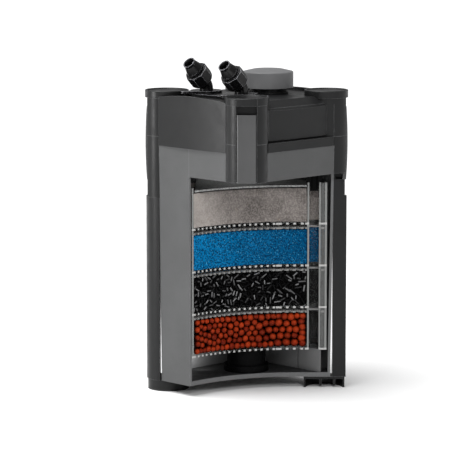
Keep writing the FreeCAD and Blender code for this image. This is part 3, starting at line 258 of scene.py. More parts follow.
@dataclass(frozen=True)
class Moulded:
    """Opaque moulded plastic, rubber, ceramic or metal with a fine grain and lighter edges."""

    name: str
    colour: Colour
    rough: float = 0.45
    grain: float = 0.25
    grain_cells: float = 2600.0
    # Gain on the colour at edges: partly wear, partly painted highlight.
    edge_wear_and_highlight: float = 1.6
    edge_radius: float = 0.8 * MM
    edge_sharp: float = 0.80
    gap_shade: float = 0.45
    metal: float = 0.0
    specular: float = 0.5
    mottle: float = 0.05
    gap_reach: float = 16.0 * MM
    wear_cells: float = 260.0
    scuff_cells: float = 70.0
    saw_cells: float = 900.0
    seam_level: float | None = None
    seam_edge: float = 0.5 * MM
    seam_half: float = 0.2 * MM
    seam_lift: float = 0.5
    sawn_lift: float = 1.0
    floor_shade: float = 1.0

    def make(self) -> bpy.types.Material:
        """Builds the material.

        Returns:
            Broad and fine variation, edges lightened partly by wear and partly as painted highlight, painted
            shade in gaps and, where they are set, a parting line, sawn faces and a floor darkened as painted
            shade.
        """
        b = Bench(self.name)
        normal, edges = b.edge(self.edge_radius, self.edge_sharp)
        air = b.shelter(self.gap_reach)
        broad = b.spread(14.0, 3.0, 0.93, 1.07)
        speck = b.spread(self.grain_cells * 0.5, 2.0, 1.0 - self.mottle, 1.0 + self.mottle)
        shade = b.times(broad, speck)
        # Painted highlight: edges get a lighter colour where a rounded edge would catch the light, broken up
        # by a wear pattern and kept out of gaps.
        worn_edge_highlight = b.times(edges, b.ramp(b.noise(self.wear_cells, 3.0), 0.3, 0.65, 0.55, 1.0))
        worn_edge_highlight = b.times(worn_edge_highlight, b.ramp(air, 0.35, 0.75))
        lift = b.calc("MULTIPLY_ADD", worn_edge_highlight, self.edge_wear_and_highlight - 1.0, shade)
        if self.seam_level is not None:
            height = b.calc("ABSOLUTE", b.calc("SUBTRACT", b.axes()[2], self.seam_level))
            seam = b.ramp(height, self.seam_edge, self.seam_half)
            lift = b.calc("MULTIPLY_ADD", seam, self.seam_lift, lift)
        if self.sawn_lift != 1.0:
            saw_marks = b.ramp(b.noise(self.saw_cells, 2.0, 0.5, (1.0, 1.0, 0.1)), 0.2, 0.8, 0.8, 1.1)
            cut = b.times(b.sawn(), saw_marks)
            lift = b.calc("MULTIPLY_ADD", cut, self.sawn_lift - 1.0, lift)
        # Painted shade: level faces behind the cut, such as the vessel's floor, are given a darker colour.
        if self.floor_shade != 1.0:
            level = b.times(b.ramp(b.upward(), 0.5, 0.9), b.ramp(b.sunk(), 0.5 * MM, 3.0 * MM))
            lift = b.times(lift, b.calc("MULTIPLY_ADD", level, self.floor_shade - 1.0, 1.0))
        # Painted shade: the colour is darkened where other surfaces shelter it, deep in gaps and corners.
        light = b.times(lift, b.ramp(air, 0.1, 0.8, self.gap_shade, 1.0))
        scale = b.node("ShaderNodeVectorMath")
        scale.operation = "SCALE"
        scale.inputs[0].default_value = self.colour
        b.feed(scale, Scale=light)
        scuff = b.ramp(b.noise(self.scuff_cells, 4.0, 0.6), 0.35, 0.75, self.rough - 0.05, self.rough + 0.08)
        relief = b.bump(b.noise(self.grain_cells, 2.0), 0.05 * MM, self.grain, normal)
        b.feed(b.shader, Base_Color=scale.outputs[0], Roughness=scuff, Normal=relief,
               Metallic=self.metal, Specular_IOR_Level=self.specular)
        return b.material


@dataclass(frozen=True)
class ClearMoulded:
    """Clear plastic of the baskets: nearly invisible on its faces, pale on edges and sawn faces."""

    name: str
    colour: Colour
    sawn: Colour
    grid: Colour
    clear: float = 0.01
    edge_highlight: float = 0.6
    cut_cover: float = 0.97
    lowest_bar: float = 54.7 * MM
    bar_thick: float = 3.0 * MM

    def make(self) -> bpy.types.Material:
        """Builds the material.

        Returns:
            A see-through shader whose pale cover grows at grazing angles and on edges as painted reflection
            and highlight, and on sawn faces; the sawn bars of the slotted floors are the brightest.
        """
        b = Bench(self.name)
        normal, edges = b.edge(0.5 * MM)
        row = b.calc("MODULO", b.calc("SUBTRACT", b.axes()[2], self.lowest_bar), BASKET_PITCH)
        face = b.mix(b.calc("LESS_THAN", row, self.bar_thick), self.sawn, self.grid)
        # Painted reflection and highlight: the pale cover grows towards grazing angles and on edges.
        grazing_reflection = b.node("ShaderNodeLayerWeight", Blend=0.3)
        cut = b.sawn()
        haze = b.ramp(b.noise(120.0, 4.0), 0.3, 0.8, self.clear, self.clear + 0.03)
        cover = b.calc("MAXIMUM", b.calc("MULTIPLY_ADD", grazing_reflection.outputs["Facing"], 0.15, haze),
                      b.times(edges, self.edge_highlight))
        cover = b.calc("MAXIMUM", cover, b.times(cut, self.cut_cover))
        tint = b.mix(cut, self.colour, face)
        relief = b.bump(b.noise(500.0, 3.0), 0.04 * MM, 0.4, normal)
        b.feed(b.shader, Base_Color=tint, Alpha=cover, Normal=relief, Specular_IOR_Level=0.6,
               Roughness=b.spread(200.0, 2.0, 0.12, 0.22))
        return b.material


@dataclass(frozen=True)
class Spots:
    """Spots of another colour: they grow in where a noise runs from one value to another."""

    colour: Colour
    share: float
    cells: float
    start: float
    full: float
    detail: float = 3.0
    rough: float = 0.5

    def over(self, b: Bench, body: Socket) -> Socket:
        """Blends the spots over a colour by their share."""
        mask = b.ramp(b.noise(self.cells, self.detail, self.rough), self.start, self.full)
        return b.mix(b.times(mask, self.share), body, self.colour)


@dataclass(frozen=True)
class OpenCell:
    """Reticulated foam: pale blue struts round pores painted dark as shade."""

    name: str
    strut: Colour
    pore_shade: Colour
    glints: Spots = Spots((0.10, 0.52, 0.85), share=0.5, cells=620.0, start=0.62, full=0.72, detail=1.0)
    pores: float = 430.0

    def make(self) -> bpy.types.Material:
        """Builds the material.

        Returns:
            Pores from a cell pattern, painted shade that darkens it towards the right, and painted glints on
            the struts.
        """
        b = Bench(self.name)
        cell = b.cells(self.pores)
        fine = b.noise(self.pores * 2.0, 2.0, 0.6)
        height = b.calc("MULTIPLY_ADD", fine, 0.8, cell)
        # Painted shade: the pores take a dark colour for the shade inside the open cells.
        body = b.mix(b.ramp(height, 0.60, 1.10), self.pore_shade, self.strut)
        broad = b.spread(30.0, 4.0)
        # Painted shade: the foam is blended towards the dark pore colour towards the right.
        shade = b.calc("MULTIPLY_ADD", b.ramp(b.along(), -0.08, 0.04), 0.52, b.times(broad, 0.15))
        body = b.mix(shade, body, self.pore_shade)
        # Painted glints: pale blue spots on the struts.
        body = self.glints.over(b, body)
        relief = b.bump(height, 0.5 * MM, 0.7)
        b.feed(b.shader, Base_Color=body, Normal=relief, Specular_IOR_Level=0.06,
               Roughness=b.ramp(broad, 0.0, 1.0, 0.7, 0.85))
        return b.material


@dataclass(frozen=True)
class FilterWool:
    """White filter wool after use: beige and grey clouds in a felt of fine fibres."""

    name: str
    clean: Colour
    soiled_and_shaded: Colour
    spots: tuple[Spots, ...] = (
        Spots((0.22, 0.16, 0.11), share=0.4, cells=75.0, start=0.60, full=0.78, rough=0.6),
        Spots((0.60, 0.54, 0.50), share=0.26, cells=430.0, start=0.42, full=0.62, rough=0.7),
        Spots((0.10, 0.085, 0.077), share=0.22, cells=330.0, start=0.48, full=0.34, rough=0.7))

    def make(self) -> bpy.types.Material:
        """Builds the material.

        Returns:
            Painted shade that darkens it towards the right, clouds of dirt, then stains, pale tufts and dark
            grit, over a fibre relief with a little sheen.
        """
        b = Bench(self.name)
        # Painted shade: the wool is blended towards the soiled colour towards the right; the clouds are real
        # dirt.
        side = b.ramp(b.along(), -0.075, -0.010)
        cloud = b.ramp(b.noise(34.0, 5.0, 0.62), 0.35, 0.68)
        share = b.calc("MULTIPLY_ADD", side, 0.70, b.times(cloud, 0.36))
        body = b.mix(share, self.clean, self.soiled_and_shaded)
        for spots in self.spots:
            body = spots.over(b, body)
        upright = b.noise(900.0, 3.0, 0.6, (1.0, 1.0, 0.25))
        level = b.noise(900.0, 3.0, 0.6, (0.2, 0.2, 1.0))
        relief = b.bump(b.calc("ADD", upright, level), 0.7 * MM, 0.55)
        b.feed(b.shader, Base_Color=body, Normal=relief, Sheen_Weight=0.25, Sheen_Roughness=0.5,
               Roughness=b.ramp(cloud, 0.0, 1.0, 0.85, 0.95))
        return b.material


@dataclass(frozen=True)
class Granulate:
    """Loose pieces of a bed: each has its own tone, a rough skin and some dust."""

    name: str
    dark: Colour
    light: Colour
    dust: Colour
    dust_share: float
    rough: float
    pores: float
    depth: float = 0.25 * MM
    mottle: float = 0.25
    specular: float = 0.15
    depth_shade: tuple[float, float, float] = (2.0 * MM, 9.0 * MM, 0.15)

    def make(self) -> bpy.types.Material:
        """Builds the material.

        Returns:
            Tone by piece, mottled skin, dust in patches, a pitted relief, and painted shade: darker deeper in
            the bed, in the gaps between pieces and on faces that look down.
        """
        b = Bench(self.name)
        mottle = b.spread(self.pores * 0.35, 4.0, -self.mottle, self.mottle, 0.6)
        body = b.mix(b.calc("ADD", b.tone(), mottle), self.dark, self.light)
        patch = b.ramp(b.noise(self.pores * 0.6, 3.0, 0.6), 0.45, 0.75, 0.0, self.dust_share)
        body = b.mix(patch, body, self.dust)
        # Painted shade: the colour darkens with depth behind the section, which gives each piece a dark rim.
        near, far, least = self.depth_shade
        light = b.ramp(b.sunk(), near, far, 1.0, least)
        # Painted shade: darker in the gaps between pieces.
        light = b.times(light, b.ramp(b.shelter(5.0 * MM), 0.10, 0.75, 0.12, 1.0))
        # Painted light and shade: faces that look up are lighter and faces that look down darker.
        light = b.times(light, b.ramp(b.upward(), -0.9, 0.8, 0.5, 1.12))
        body = b.mix(light, (0.0, 0.0, 0.0), body)
        pits = b.ramp(b.cells(self.pores), 0.05, 0.35)
        relief = b.bump(b.calc("MULTIPLY_ADD", pits, 0.6, b.noise(self.pores, 3.0)), self.depth, 0.6)
        b.feed(b.shader, Base_Color=body, Normal=relief, Specular_IOR_Level=self.specular,
               Roughness=b.ramp(mottle, -self.mottle, self.mottle, self.rough - 0.08, self.rough + 0.08))
        return b.material


# Shapes worked out with numpy

def from_diagonal(along: Array, away: Array, z: Array) -> Array:
    """Points from their way along the section's diagonal, their distance away from it and their level."""
    return np.stack(np.broadcast_arrays((along - away) * HALF_ROOT, (along + away) * HALF_ROOT, z), axis=-1)


def to_diagonal(points: Array) -> tuple[Array, Array]:
    """The way along the section's diagonal and the distance away from it, of points one row each."""
    x, y = points[:, 0], points[:, 1]
    return (x + y) * HALF_ROOT, (y - x) * HALF_ROOT


@dataclass(frozen=True)
class Section:
    """The cut through the corner: an arc that runs out into a flat behind the diagonal.

    A point on it is told by s, the way along the cut from where the arc ends, and t, the depth behind it.
    The arc ends at turn along the diagonal, the flat lies at flat away from it, and skin is the depth to
    which a face counts as sawn.
    """

    turn: float = 74.3 * MM
    flat: float = 1.4 * MM
    radius: float = 201.0 * MM
    skin: float = 0.25 * MM

    @staticmethod
    def place(s: Array, t: Array, z: Array) -> Array:
        """Turns s, t, z into x, y, z: on the arc the angle is s over the radius, on the flat s runs on.

        Args:
            s: Way along the cut, negative on the arc.
            t: Depth behind the cut.
            z: Height.

        Returns:
            Points, one row each.
        """
        angle = np.minimum(s, 0.0) / Section.radius
        along = Section.turn + np.maximum(s, 0.0) + (Section.radius + t) * np.sin(angle)
        away = Section.flat - Section.radius + (Section.radius + t) * np.cos(angle)
        return from_diagonal(along, away, z)

    @staticmethod
    def outward(s: Array) -> Array:
        """Unit vectors that point from the cut towards the viewer."""
        angle = np.minimum(s, 0.0) / Section.radius
        return from_diagonal(-np.sin(angle), -np.cos(angle), np.zeros_like(s))


def link(thing: Piece) -> None:
    """Puts an object into the scene."""
    bpy.context.scene.collection.objects.link(thing)


def new_piece(name: str, points: Array, faces: list[list[int]], smooth: bool = True) -> Piece:
    """Puts points and faces into a new mesh object at the origin."""
    mesh = bpy.data.meshes.new(name)
    mesh.from_pydata(points.reshape(-1, 3).tolist(), [], faces)
    mesh.update()
    if smooth:
        mesh.shade_smooth()
    piece = bpy.data.objects.new(name, mesh)
    link(piece)
    return piece


def grid_faces(rows: int, columns: int, ring: bool = False) -> Array:
    """Quads of a grid of points, closed round its columns if ring is set."""
    across = columns if ring else columns - 1
    i, j = np.meshgrid(np.arange(rows - 1), np.arange(across), indexing="ij")
    k = (j + 1) % columns
    return np.stack([i * columns + j, i * columns + k, (i + 1) * columns + k, (i + 1) * columns + j],
                    axis=-1).reshape(-1, 4)


def lofted(name: str, rings: Array) -> Piece:
    """Closed solid through rings of points: the skin between them and a face at each end."""
    rows, ring = rings.shape[:2]
    corners = np.arange(rows * ring).reshape(rows, ring)
    ends = [corners[0, ::-1].tolist(), corners[-1].tolist()]
    return new_piece(name, rings, grid_faces(rows, ring, ring=True).tolist() + ends, smooth=False)


def lumps(points: Array, size: float, seed: int) -> Array:
    """Smooth noise from -1 to 1: random values on a lattice, blended between its corners.

    Args:
        points: Points, one row each.
        size: Distance between lattice points.
        seed: Seed of the random values.

    Returns:
        One value for each point.
    """
    table = np.random.default_rng(seed).uniform(-1.0, 1.0, (LATTICE_CELLS,) * 3)
    cell = np.floor(points / size).astype(int)
    part = points / size - cell
    part = part * part * (3.0 - 2.0 * part)
    total = np.zeros(len(points))
    for corner in np.ndindex(2, 2, 2):
        share = np.prod(np.where(np.array(corner) == 1, part, 1.0 - part), axis=1)
        index = (cell + np.array(corner)) % LATTICE_CELLS
        total += share * table[index[:, 0], index[:, 1], index[:, 2]]
    return total


@dataclass(frozen=True)
class Waves:
    """Smooth lumps of a given width and height."""

    width: float
    height: float
    seed: int

    def at(self, places: Array) -> Array:
        """Height of the lumps at each place."""
        return self.height * lumps(places, self.width, self.seed)


def ball_template(cuts: int) -> tuple[Array, Array]:
    """Unit ball from a cube: each cube face is a grid whose points are pushed out to the ball.

    Args:
        cuts: Quads along each edge of the cube.

    Returns:
        Points and quads.
    """
    step = np.tan(np.linspace(-0.25, 0.25, cuts + 1) * math.pi)
    u, v = np.meshgrid(step, step, indexing="ij")
    sides = []
    for axis in range(3):
        for sign in (-1.0, 1.0):
            block = [u, v]
            block.insert(axis, np.full_like(u, sign))
            sides.append(np.stack(block, axis=-1).reshape(-1, 3))
    points = np.concatenate(sides)
    points /= np.linalg.norm(points, axis=1, keepdims=True)
    quads = np.concatenate([grid_faces(cuts + 1, cuts + 1) + n * (cuts + 1) ** 2 for n in range(6)])
    _, first, back = np.unique(np.round(points, 5), axis=0, return_index=True, return_inverse=True)
    points, quads = points[first], back.reshape(-1)[quads]
    middle = points[quads].mean(axis=1)
    turn = np.cross(points[quads[:, 1]] - points[quads[:, 0]], points[quads[:, 3]] - points[quads[:, 0]])
    wrong = (turn * middle).sum(axis=1) < 0.0
    quads[wrong] = quads[wrong][:, ::-1]
    return points, quads


def rod_template(sides: int) -> tuple[Array, Array, Array]:
    """Unit rod along X, radius 1 and half length 1, with chamfered ends: a profile carried round the axis.

    Args:
        sides: Flats round the rod.

    Returns:
        Points, the quads of its skin and the two end faces.
    """
    reach = np.array([-1.0, -0.93, 0.93, 1.0])
    radius = np.array([0.72, 1.0, 1.0, 0.72])
    angle = np.arange(sides) * 2.0 * math.pi / sides
    points = np.stack(np.broadcast_arrays(reach[:, None], radius[:, None] * np.cos(angle),
                                          radius[:, None] * np.sin(angle)), axis=-1).reshape(-1, 3)
    ends = np.stack([np.arange(sides)[::-1], np.arange(sides) + 3 * sides])
    return points, grid_faces(4, sides, ring=True), ends


def scatter(name: str, template: Array, groups: list[Array], frames: Array,
            centres: Array, tones: Array) -> Piece:
    """One mesh of many copies of a template, each turned and scaled by its own frame.

    Args:
        name: Name of the piece.
        template: Points of one copy.
        groups: Faces of one copy, one array for each number of corners.
        frames: A 3 by 3 matrix for each copy.
        centres: The place of each copy.
        tones: A number from 0 to 1 for each copy.

    Returns:
        The piece, with its tones in an attribute.
    """
    points = np.einsum("nij,vj->nvi", frames, template) + centres[:, None, :]
    shift = (np.arange(len(centres)) * len(template))[:, None, None]
    faces: list[list[int]] = []
    for group in groups:
        faces += (group[None] + shift).reshape(-1, group.shape[1]).tolist()
    piece = new_piece(name, points, faces)
    mark_tones(piece.data, np.repeat(tones, len(template)))
    return piece


def remeshed(source: Piece, name: str, voxel: float) -> Piece:
    """A new piece in the space of a solid, with even small quads and softened edges.

    Args:
        source: Solid whose space the piece takes.
        name: Name of the new piece.
        voxel: Size of the quads.

    Returns:
        The piece.
    """
    piece = bpy.data.objects.new(name, source.data.copy())
    link(piece)
    piece.data.materials.clear()
    weld = piece.modifiers.new("weld", "WELD")
    weld.merge_threshold = 0.02 * MM
    even = piece.modifiers.new("even", "REMESH")
    even.mode, even.voxel_size = "VOXEL", voxel
    soften = piece.modifiers.new("soften", "SMOOTH")
    soften.factor, soften.iterations = 0.5, 6
    bpy.context.view_layer.update()
    graph = bpy.context.evaluated_depsgraph_get()
    mesh = bpy.data.meshes.new_from_object(piece.evaluated_get(graph))
    old = piece.data
    piece.modifiers.clear()
    piece.data = mesh
    bpy.data.meshes.remove(old)
    mesh.shade_smooth()
    return piece


def vertex_arrays(mesh: bpy.types.Mesh) -> tuple[Array, Array]:
    """Places and normals of a mesh's vertices."""
    count = len(mesh.vertices)
    places, normals = np.empty(count * 3, np.float32), np.empty(count * 3, np.float32)
    mesh.vertices.foreach_get("co", places)
    mesh.vertex_normals.foreach_get("vector", normals)
    return places.reshape(-1, 3).astype(float), normals.reshape(-1, 3).astype(float)


def move_vertices(mesh: bpy.types.Mesh, places: Array) -> None:
    """Puts a mesh's vertices at new places."""
    mesh.vertices.foreach_set("co", places.astype(np.float32).ravel())
    mesh.update()


def push(piece: Piece, height: Array) -> None:
    """Moves each vertex along its normal by its own height."""
    places, normals = vertex_arrays(piece.data)
    move_vertices(piece.data, places + normals * height[:, None])


def mark_tones(mesh: bpy.types.Mesh, tones: Array) -> None:
    """Gives each vertex its tone, a number from 0 to 1 that the finish reads."""
    mark = mesh.attributes.new("tone", "FLOAT", "POINT")
    mark.data.foreach_set("value", tones.astype(np.float32))


# Palette

class Finish(Enum):
    """Every finish of the filter."""

    # HEAD and CONNECTOR take large edge gains: their pale edge lines are painted highlight.
    HEAD = Moulded("head_plastic", (0.0138, 0.0140, 0.0143), rough=0.33, specular=0.17, edge_wear_and_highlight=17.0,
                   edge_radius=0.6 * MM)
    COLUMN = replace(HEAD, name="column_plastic", seam_level=364.0 * MM)
    KNOB = Moulded("knob_plastic", (0.160, 0.161, 0.164), rough=0.45, specular=0.15, edge_wear_and_highlight=1.8)
    VESSEL = Moulded("vessel_plastic", (0.085, 0.086, 0.087), rough=0.5, specular=0.18, edge_wear_and_highlight=1.5,
                     sawn_lift=1.8, floor_shade=0.33, gap_shade=0.8)
    SUPPORT = Moulded("support_plastic", (0.16, 0.161, 0.162), rough=0.5, specular=0.3, edge_wear_and_highlight=1.3,
                      gap_shade=0.8)
    LEVER = Moulded("lever_plastic", (0.068, 0.0685, 0.0695), rough=0.33, specular=0.25, edge_wear_and_highlight=2.4,
                    edge_radius=0.7 * MM)
    PEDESTAL = Moulded("pedestal_plastic", (0.0022, 0.0022, 0.0024), rough=0.6, specular=0.06)
    CONNECTOR = Moulded("connector_plastic", (0.004, 0.004, 0.0043), rough=0.28, edge_wear_and_highlight=160.0,
                        edge_radius=0.7 * MM, edge_sharp=0.93, specular=0.3)
    RUBBER = Moulded("seal_rubber", (0.020, 0.020, 0.021), rough=0.8, grain=0.5, edge_wear_and_highlight=1.2, specular=0.3)
    STEEL = Moulded("spring_steel", (0.55, 0.55, 0.54), rough=0.28, grain=0.1, edge_wear_and_highlight=1.1, metal=1.0)
    CERAMIC = Moulded("shaft_ceramic", (0.72, 0.71, 0.68), rough=0.2, grain=0.05, edge_wear_and_highlight=1.05)
    RESIN = Moulded("motor_resin", (0.030, 0.031, 0.034), rough=0.25, grain=0.1, edge_wear_and_highlight=1.3)
    MAGNET = Moulded("rotor_magnet_ferrite", (0.045, 0.044, 0.043), rough=0.55, grain=0.6, edge_wear_and_highlight=1.3)
    CLEAR = ClearMoulded("basket_clear", (0.42, 0.43, 0.42), (0.21, 0.215, 0.21), (0.46, 0.46, 0.45))
    RIB = Moulded("basket_rib", (0.095, 0.097, 0.095), rough=0.3, specular=0.3, edge_wear_and_highlight=2.0,
                  edge_radius=0.4 * MM)
    LATTICE = Moulded("lid_lattice", (0.30, 0.305, 0.30), rough=0.4, grain=0.5, grain_cells=900.0,
                      mottle=0.45, specular=0.3, edge_wear_and_highlight=1.2, gap_shade=0.9)
    LID = ClearMoulded("lid_clear", (0.30, 0.30, 0.295), (0.20, 0.20, 0.195), (0.30, 0.30, 0.29), 0.80)
    FOAM = OpenCell("filter_foam_blue", (0.0, 0.195, 0.470), (0.0, 0.022, 0.068))
    WOOL = FilterWool("filter_wool", (0.385, 0.347, 0.322), (0.108, 0.094, 0.087))
    # The pale tone of the charcoal is painted highlight on the rods that would catch the light, mixed with
    # each rod's own random tone.
    CHARCOAL = Granulate("charcoal", (0.004, 0.004, 0.0045), (0.26, 0.26, 0.265), (0.03, 0.03, 0.032),
                         dust_share=0.05, rough=0.45, pores=1500.0, depth=0.12 * MM, mottle=0.02,
                         specular=0.08, depth_shade=(1.1 * MM, 2.6 * MM, 0.03))
    CLAY = Granulate("fired_clay", (0.15, 0.008, 0.002), (0.46, 0.041, 0.007), (0.58, 0.116, 0.030),
                     dust_share=0.22, rough=0.42, pores=700.0, specular=0.07, depth_shade=(0.3 * MM, 4.8 * MM, 0.12))
    # Painted shade: near-black copies of clay and charcoal for the cores, which stand for the bed in shade.
    CLAY_SHADE = Granulate("fired_clay_in_shade", (0.020, 0.002, 0.001), (0.030, 0.003, 0.001),
                           (0.04, 0.005, 0.002), dust_share=0.2, rough=0.9, pores=300.0)
    CHARCOAL_SHADE = Granulate("charcoal_in_shade", (0.001, 0.001, 0.001), (0.0015, 0.0015, 0.0015),
                               (0.002, 0.002, 0.002), dust_share=0.2, rough=0.9, pores=400.0)


class Palette:
    """Makes each finish once and hands it out."""

    def __init__(self) -> None:
        """Starts with no material made."""
        self.made: dict[Finish, bpy.types.Material] = {}

    def get(self, finish: Finish) -> bpy.types.Material:
        """The material of a finish, made on first use."""
        if finish not in self.made:
            self.made[finish] = finish.value.make()
        return self.made[finish]

    def dress(self, piece: Piece, finish: Finish) -> None:
        """Gives a whole piece one finish."""
        piece.data.materials.clear()
        piece.data.materials.append(self.get(finish))


# Sub-assemblies

@dataclass
class SubAssembly:
    """Pieces that belong together, with the finish of each carried-over node."""

    palette: Palette
    frame: dict
    finishes: dict[str, Finish] = field(default_factory=dict)

    def build(self) -> None:
        """Dresses the carried-over nodes; sub-classes add their own pieces."""
        for node, finish in self.finishes.items():
            self.palette.dress(self.frame["nodes"][node], finish)
            LOG.info("%s dressed as %s", node, finish.name.lower())

    def settle(self, piece: Piece, finish: Finish, slot: str, node: str | None = None) -> None:
        """Dresses a new piece, lets it ride on the canister and hides the node that it replaces.

        Args:
            piece: The new piece.
            finish: Its finish.
            slot: Name of a material slot; not used.
            node: The carried-over node that it replaces, if any.
        """
        self.palette.dress(piece, finish)
        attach(piece, "canister")
        if node is not None:
            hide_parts(node)
        LOG.info("%s built with %d faces", piece.name, len(piece.data.polygons))


CORNERS = ("front_right", "back_right", "back_left", "front_left")
SIDES = ("inlet", "outlet")


def canister_finishes() -> dict[str, Finish]:
    """Finishes of the vessel, its columns, feet and what stands in the pan."""
    table = {"vessel": Finish.VESSEL, "canister_rim": Finish.HEAD, "head_gasket": Finish.RUBBER,
             "foot_pads": Finish.RUBBER, "basket_supports": Finish.SUPPORT, "pan_pedestal": Finish.PEDESTAL}
    table.update({f"column_{corner}": Finish.COLUMN for corner in CORNERS})
    table.update({f"foot_{corner}": Finish.HEAD for corner in CORNERS[1:]})
    return table


def head_finishes() -> dict[str, Finish]:
    """Finishes of the head, its panels, caps, latches and priming pump."""
    shells = ("head_shell", "side_panel_right", "side_panel_left", "front_panel", "back_panel",
              "column_caps", "primer_collar", "latch_pins", "pump_plate", "volute_cover")
    table = {name: Finish.HEAD for name in shells}
    table.update({f"latch_{corner}": Finish.LEVER for corner in CORNERS})
    table.update({"primer_knob": Finish.KNOB, "primer_plunger": Finish.VESSEL, "primer_spring": Finish.STEEL,
                  "motor_pod": Finish.RESIN, "rotor_magnet": Finish.MAGNET, "impeller": Finish.VESSEL,
                  "rotor_shaft": Finish.CERAMIC, "shaft_bushes": Finish.RUBBER, "plate_screws": Finish.STEEL,
                  "down_pipe": Finish.PEDESTAL, "cable_gland": Finish.CONNECTOR})
    return table


def connector_finishes() -> dict[str, Finish]:
    """Finishes of the connector block, taps, elbows, hose tails, nuts, clamp rings and seals."""
    table = {"connector_block": Finish.CONNECTOR, "hose_seals": Finish.RUBBER}
    for side in SIDES:
        for kind in ("tap", "elbow", "hose_tail", "hose_nut", "clamp_ring"):
            table[f"{kind}_{side}"] = Finish.CONNECTOR
    return table


@dataclass
class Baskets(SubAssembly):
    """The four clear baskets, their lids, the cover over the wool and the ribs beside the duct."""

    rib_near: float = 106.1 * MM
    rib_far: float = 110.5 * MM
    rib_depth: float = 7.0 * MM
    rib_sunk: float = 0.3 * MM
    rib_crown: float = 0.5 * MM
    rib_crowns: int = 3
    rib_steps: int = 9
    rib_foot: float = 0.2 * MM
    lowest: float = 57.7 * MM
    tall: float = 56.6 * MM
    cover_low: float = 289.2 * MM
    cover_high: float = 291.8 * MM
    cover_left: float = -168.0 * MM
    cover_right: float = 11.2 * MM
    cover_sunk: float = 0.1 * MM
    cover_play: float = 0.3 * MM
    cover_rows: int = 91
    cover_steps: int = 19

    def build(self) -> None:
        """Dresses baskets and lids in clear plastic, and builds the ribs and the cover."""
        self.finishes = {f"basket_{n + 1}": Finish.CLEAR for n in range(BASKET_COUNT)}
        self.finishes["basket_lids"] = Finish.LID
        super().build()
        for floor in range(BASKET_COUNT):
            self.build_rib(floor)
        self.build_cover()

    def build_rib(self, floor: int) -> None:
        """Upright rib in the outer corner beside the duct: a crowned profile, carried up the basket."""
        u = np.linspace(0.0, 1.0, self.rib_steps)
        along = self.rib_near + (self.rib_far - self.rib_near) * np.concatenate([u, [1.0, 0.0]])
        front = self.rib_sunk + self.rib_crown * np.sin(self.rib_crowns * math.pi * u) ** 2
        away = Section.flat + np.concatenate([front, [self.rib_depth, self.rib_depth]])
        low = self.lowest + floor * BASKET_PITCH
        levels = np.array([low + self.rib_foot, low + self.tall])
        rib = lofted(f"basket_rib_{floor + 1}", from_diagonal(along, away, levels[:, None]))
        self.settle(rib, Finish.RIB, "clear_plastic")

    def build_cover(self) -> None:
        """Cover over the wool: a plate whose rows run from the section to the basket's back walls."""
        s = np.linspace(self.cover_left, self.cover_right, self.cover_rows)
        start = Section.place(s, np.full_like(s, self.cover_sunk), np.zeros_like(s))
        start = start[start[:, 1] > -BASKET_HALF + self.cover_play]
        along, near = to_diagonal(start)
        far = np.minimum(math.sqrt(2.0) * BASKET_HALF - np.abs(along), BASKET_CORNER) - self.cover_play
        v = np.linspace(0.0, 1.0, self.cover_steps)
        depth = np.concatenate([v, v[::-1]])
        level = np.repeat([self.cover_low, self.cover_high], len(v))
        away = near[:, None] + (far - near)[:, None] * depth
        cover = lofted("wool_cover", from_diagonal(along[:, None], away, level))
        self.settle(cover, Finish.LATTICE, "clear_plastic")


@dataclass
class Pads(SubAssembly):
    """Foam pad and wool pad: even skins over the solids' space, worked into soft forms."""

    rib_near: float = 105.4 * MM
    rib_back: float = 9.4 * MM
    top: float = 289.0 * MM
    foam_voxel: float = 1.5 * MM
    foam_shrink: float = 0.45 * MM
    foam_waves: tuple[Waves, Waves] = (Waves(1.6 * MM, 0.3 * MM, 11), Waves(14 * MM, 0.25 * MM, 12))
    wool_voxel: float = 1.6 * MM
    wool_shrink: float = 0.9 * MM
    wool_waves: tuple[Waves, Waves] = (Waves(19 * MM, 0.7 * MM, 21), Waves(3.2 * MM, 0.35 * MM, 22))
    wool_round: float = 9.0 * MM
    wool_sag: float = 1.6 * MM

    def build(self) -> None:
        """Builds both pads."""
        self.build_foam()
        self.build_wool()

    def rough_pad(self, node: str, name: str, voxel: float) -> tuple[Piece, Array]:
        """Even skin over a pad's solid, behind the basket's rib and under the cover.

        Args:
            node: The pad's solid.
            name: Name of the new piece.
            voxel: Size of its quads.

        Returns:
            The piece and the places of its vertices.
        """
        pad = remeshed(self.frame["nodes"][node], name, voxel)
        places, _ = vertex_arrays(pad.data)
        along, away = to_diagonal(places)
        away = np.where(along > self.rib_near, np.maximum(away, self.rib_back), away)
        move_vertices(pad.data, from_diagonal(along, away, np.minimum(places[:, 2], self.top)))
        return pad, vertex_arrays(pad.data)[0]

    def build_foam(self) -> None:
        """Foam: the skin is drawn in by half a millimetre, with open cells one to two millimetres wide."""
        pad, places = self.rough_pad("foam_pad", "foam_block", self.foam_voxel)
        cells, swells = (waves.at(places) for waves in self.foam_waves)
        push(pad, -self.foam_shrink + cells + swells)
        self.settle(pad, Finish.FOAM, "blue_foam", "foam_pad")

    def build_wool(self) -> None:
        """Wool: soft folds two centimetres wide, tufts of three millimetres, and a loose rounded top."""
        pad, places = self.rough_pad("wool_pad", "wool_fleece", self.wool_voxel)
        top = np.clip(1.0 - (places[:, 2].max() - places[:, 2]) / self.wool_round, 0.0, 1.0)
        folds, tufts = (waves.at(places) for waves in self.wool_waves)
        push(pad, -self.wool_shrink + folds + tufts - self.wool_sag * top ** 3)
        self.settle(pad, Finish.WOOL, "wool", "wool_pad")


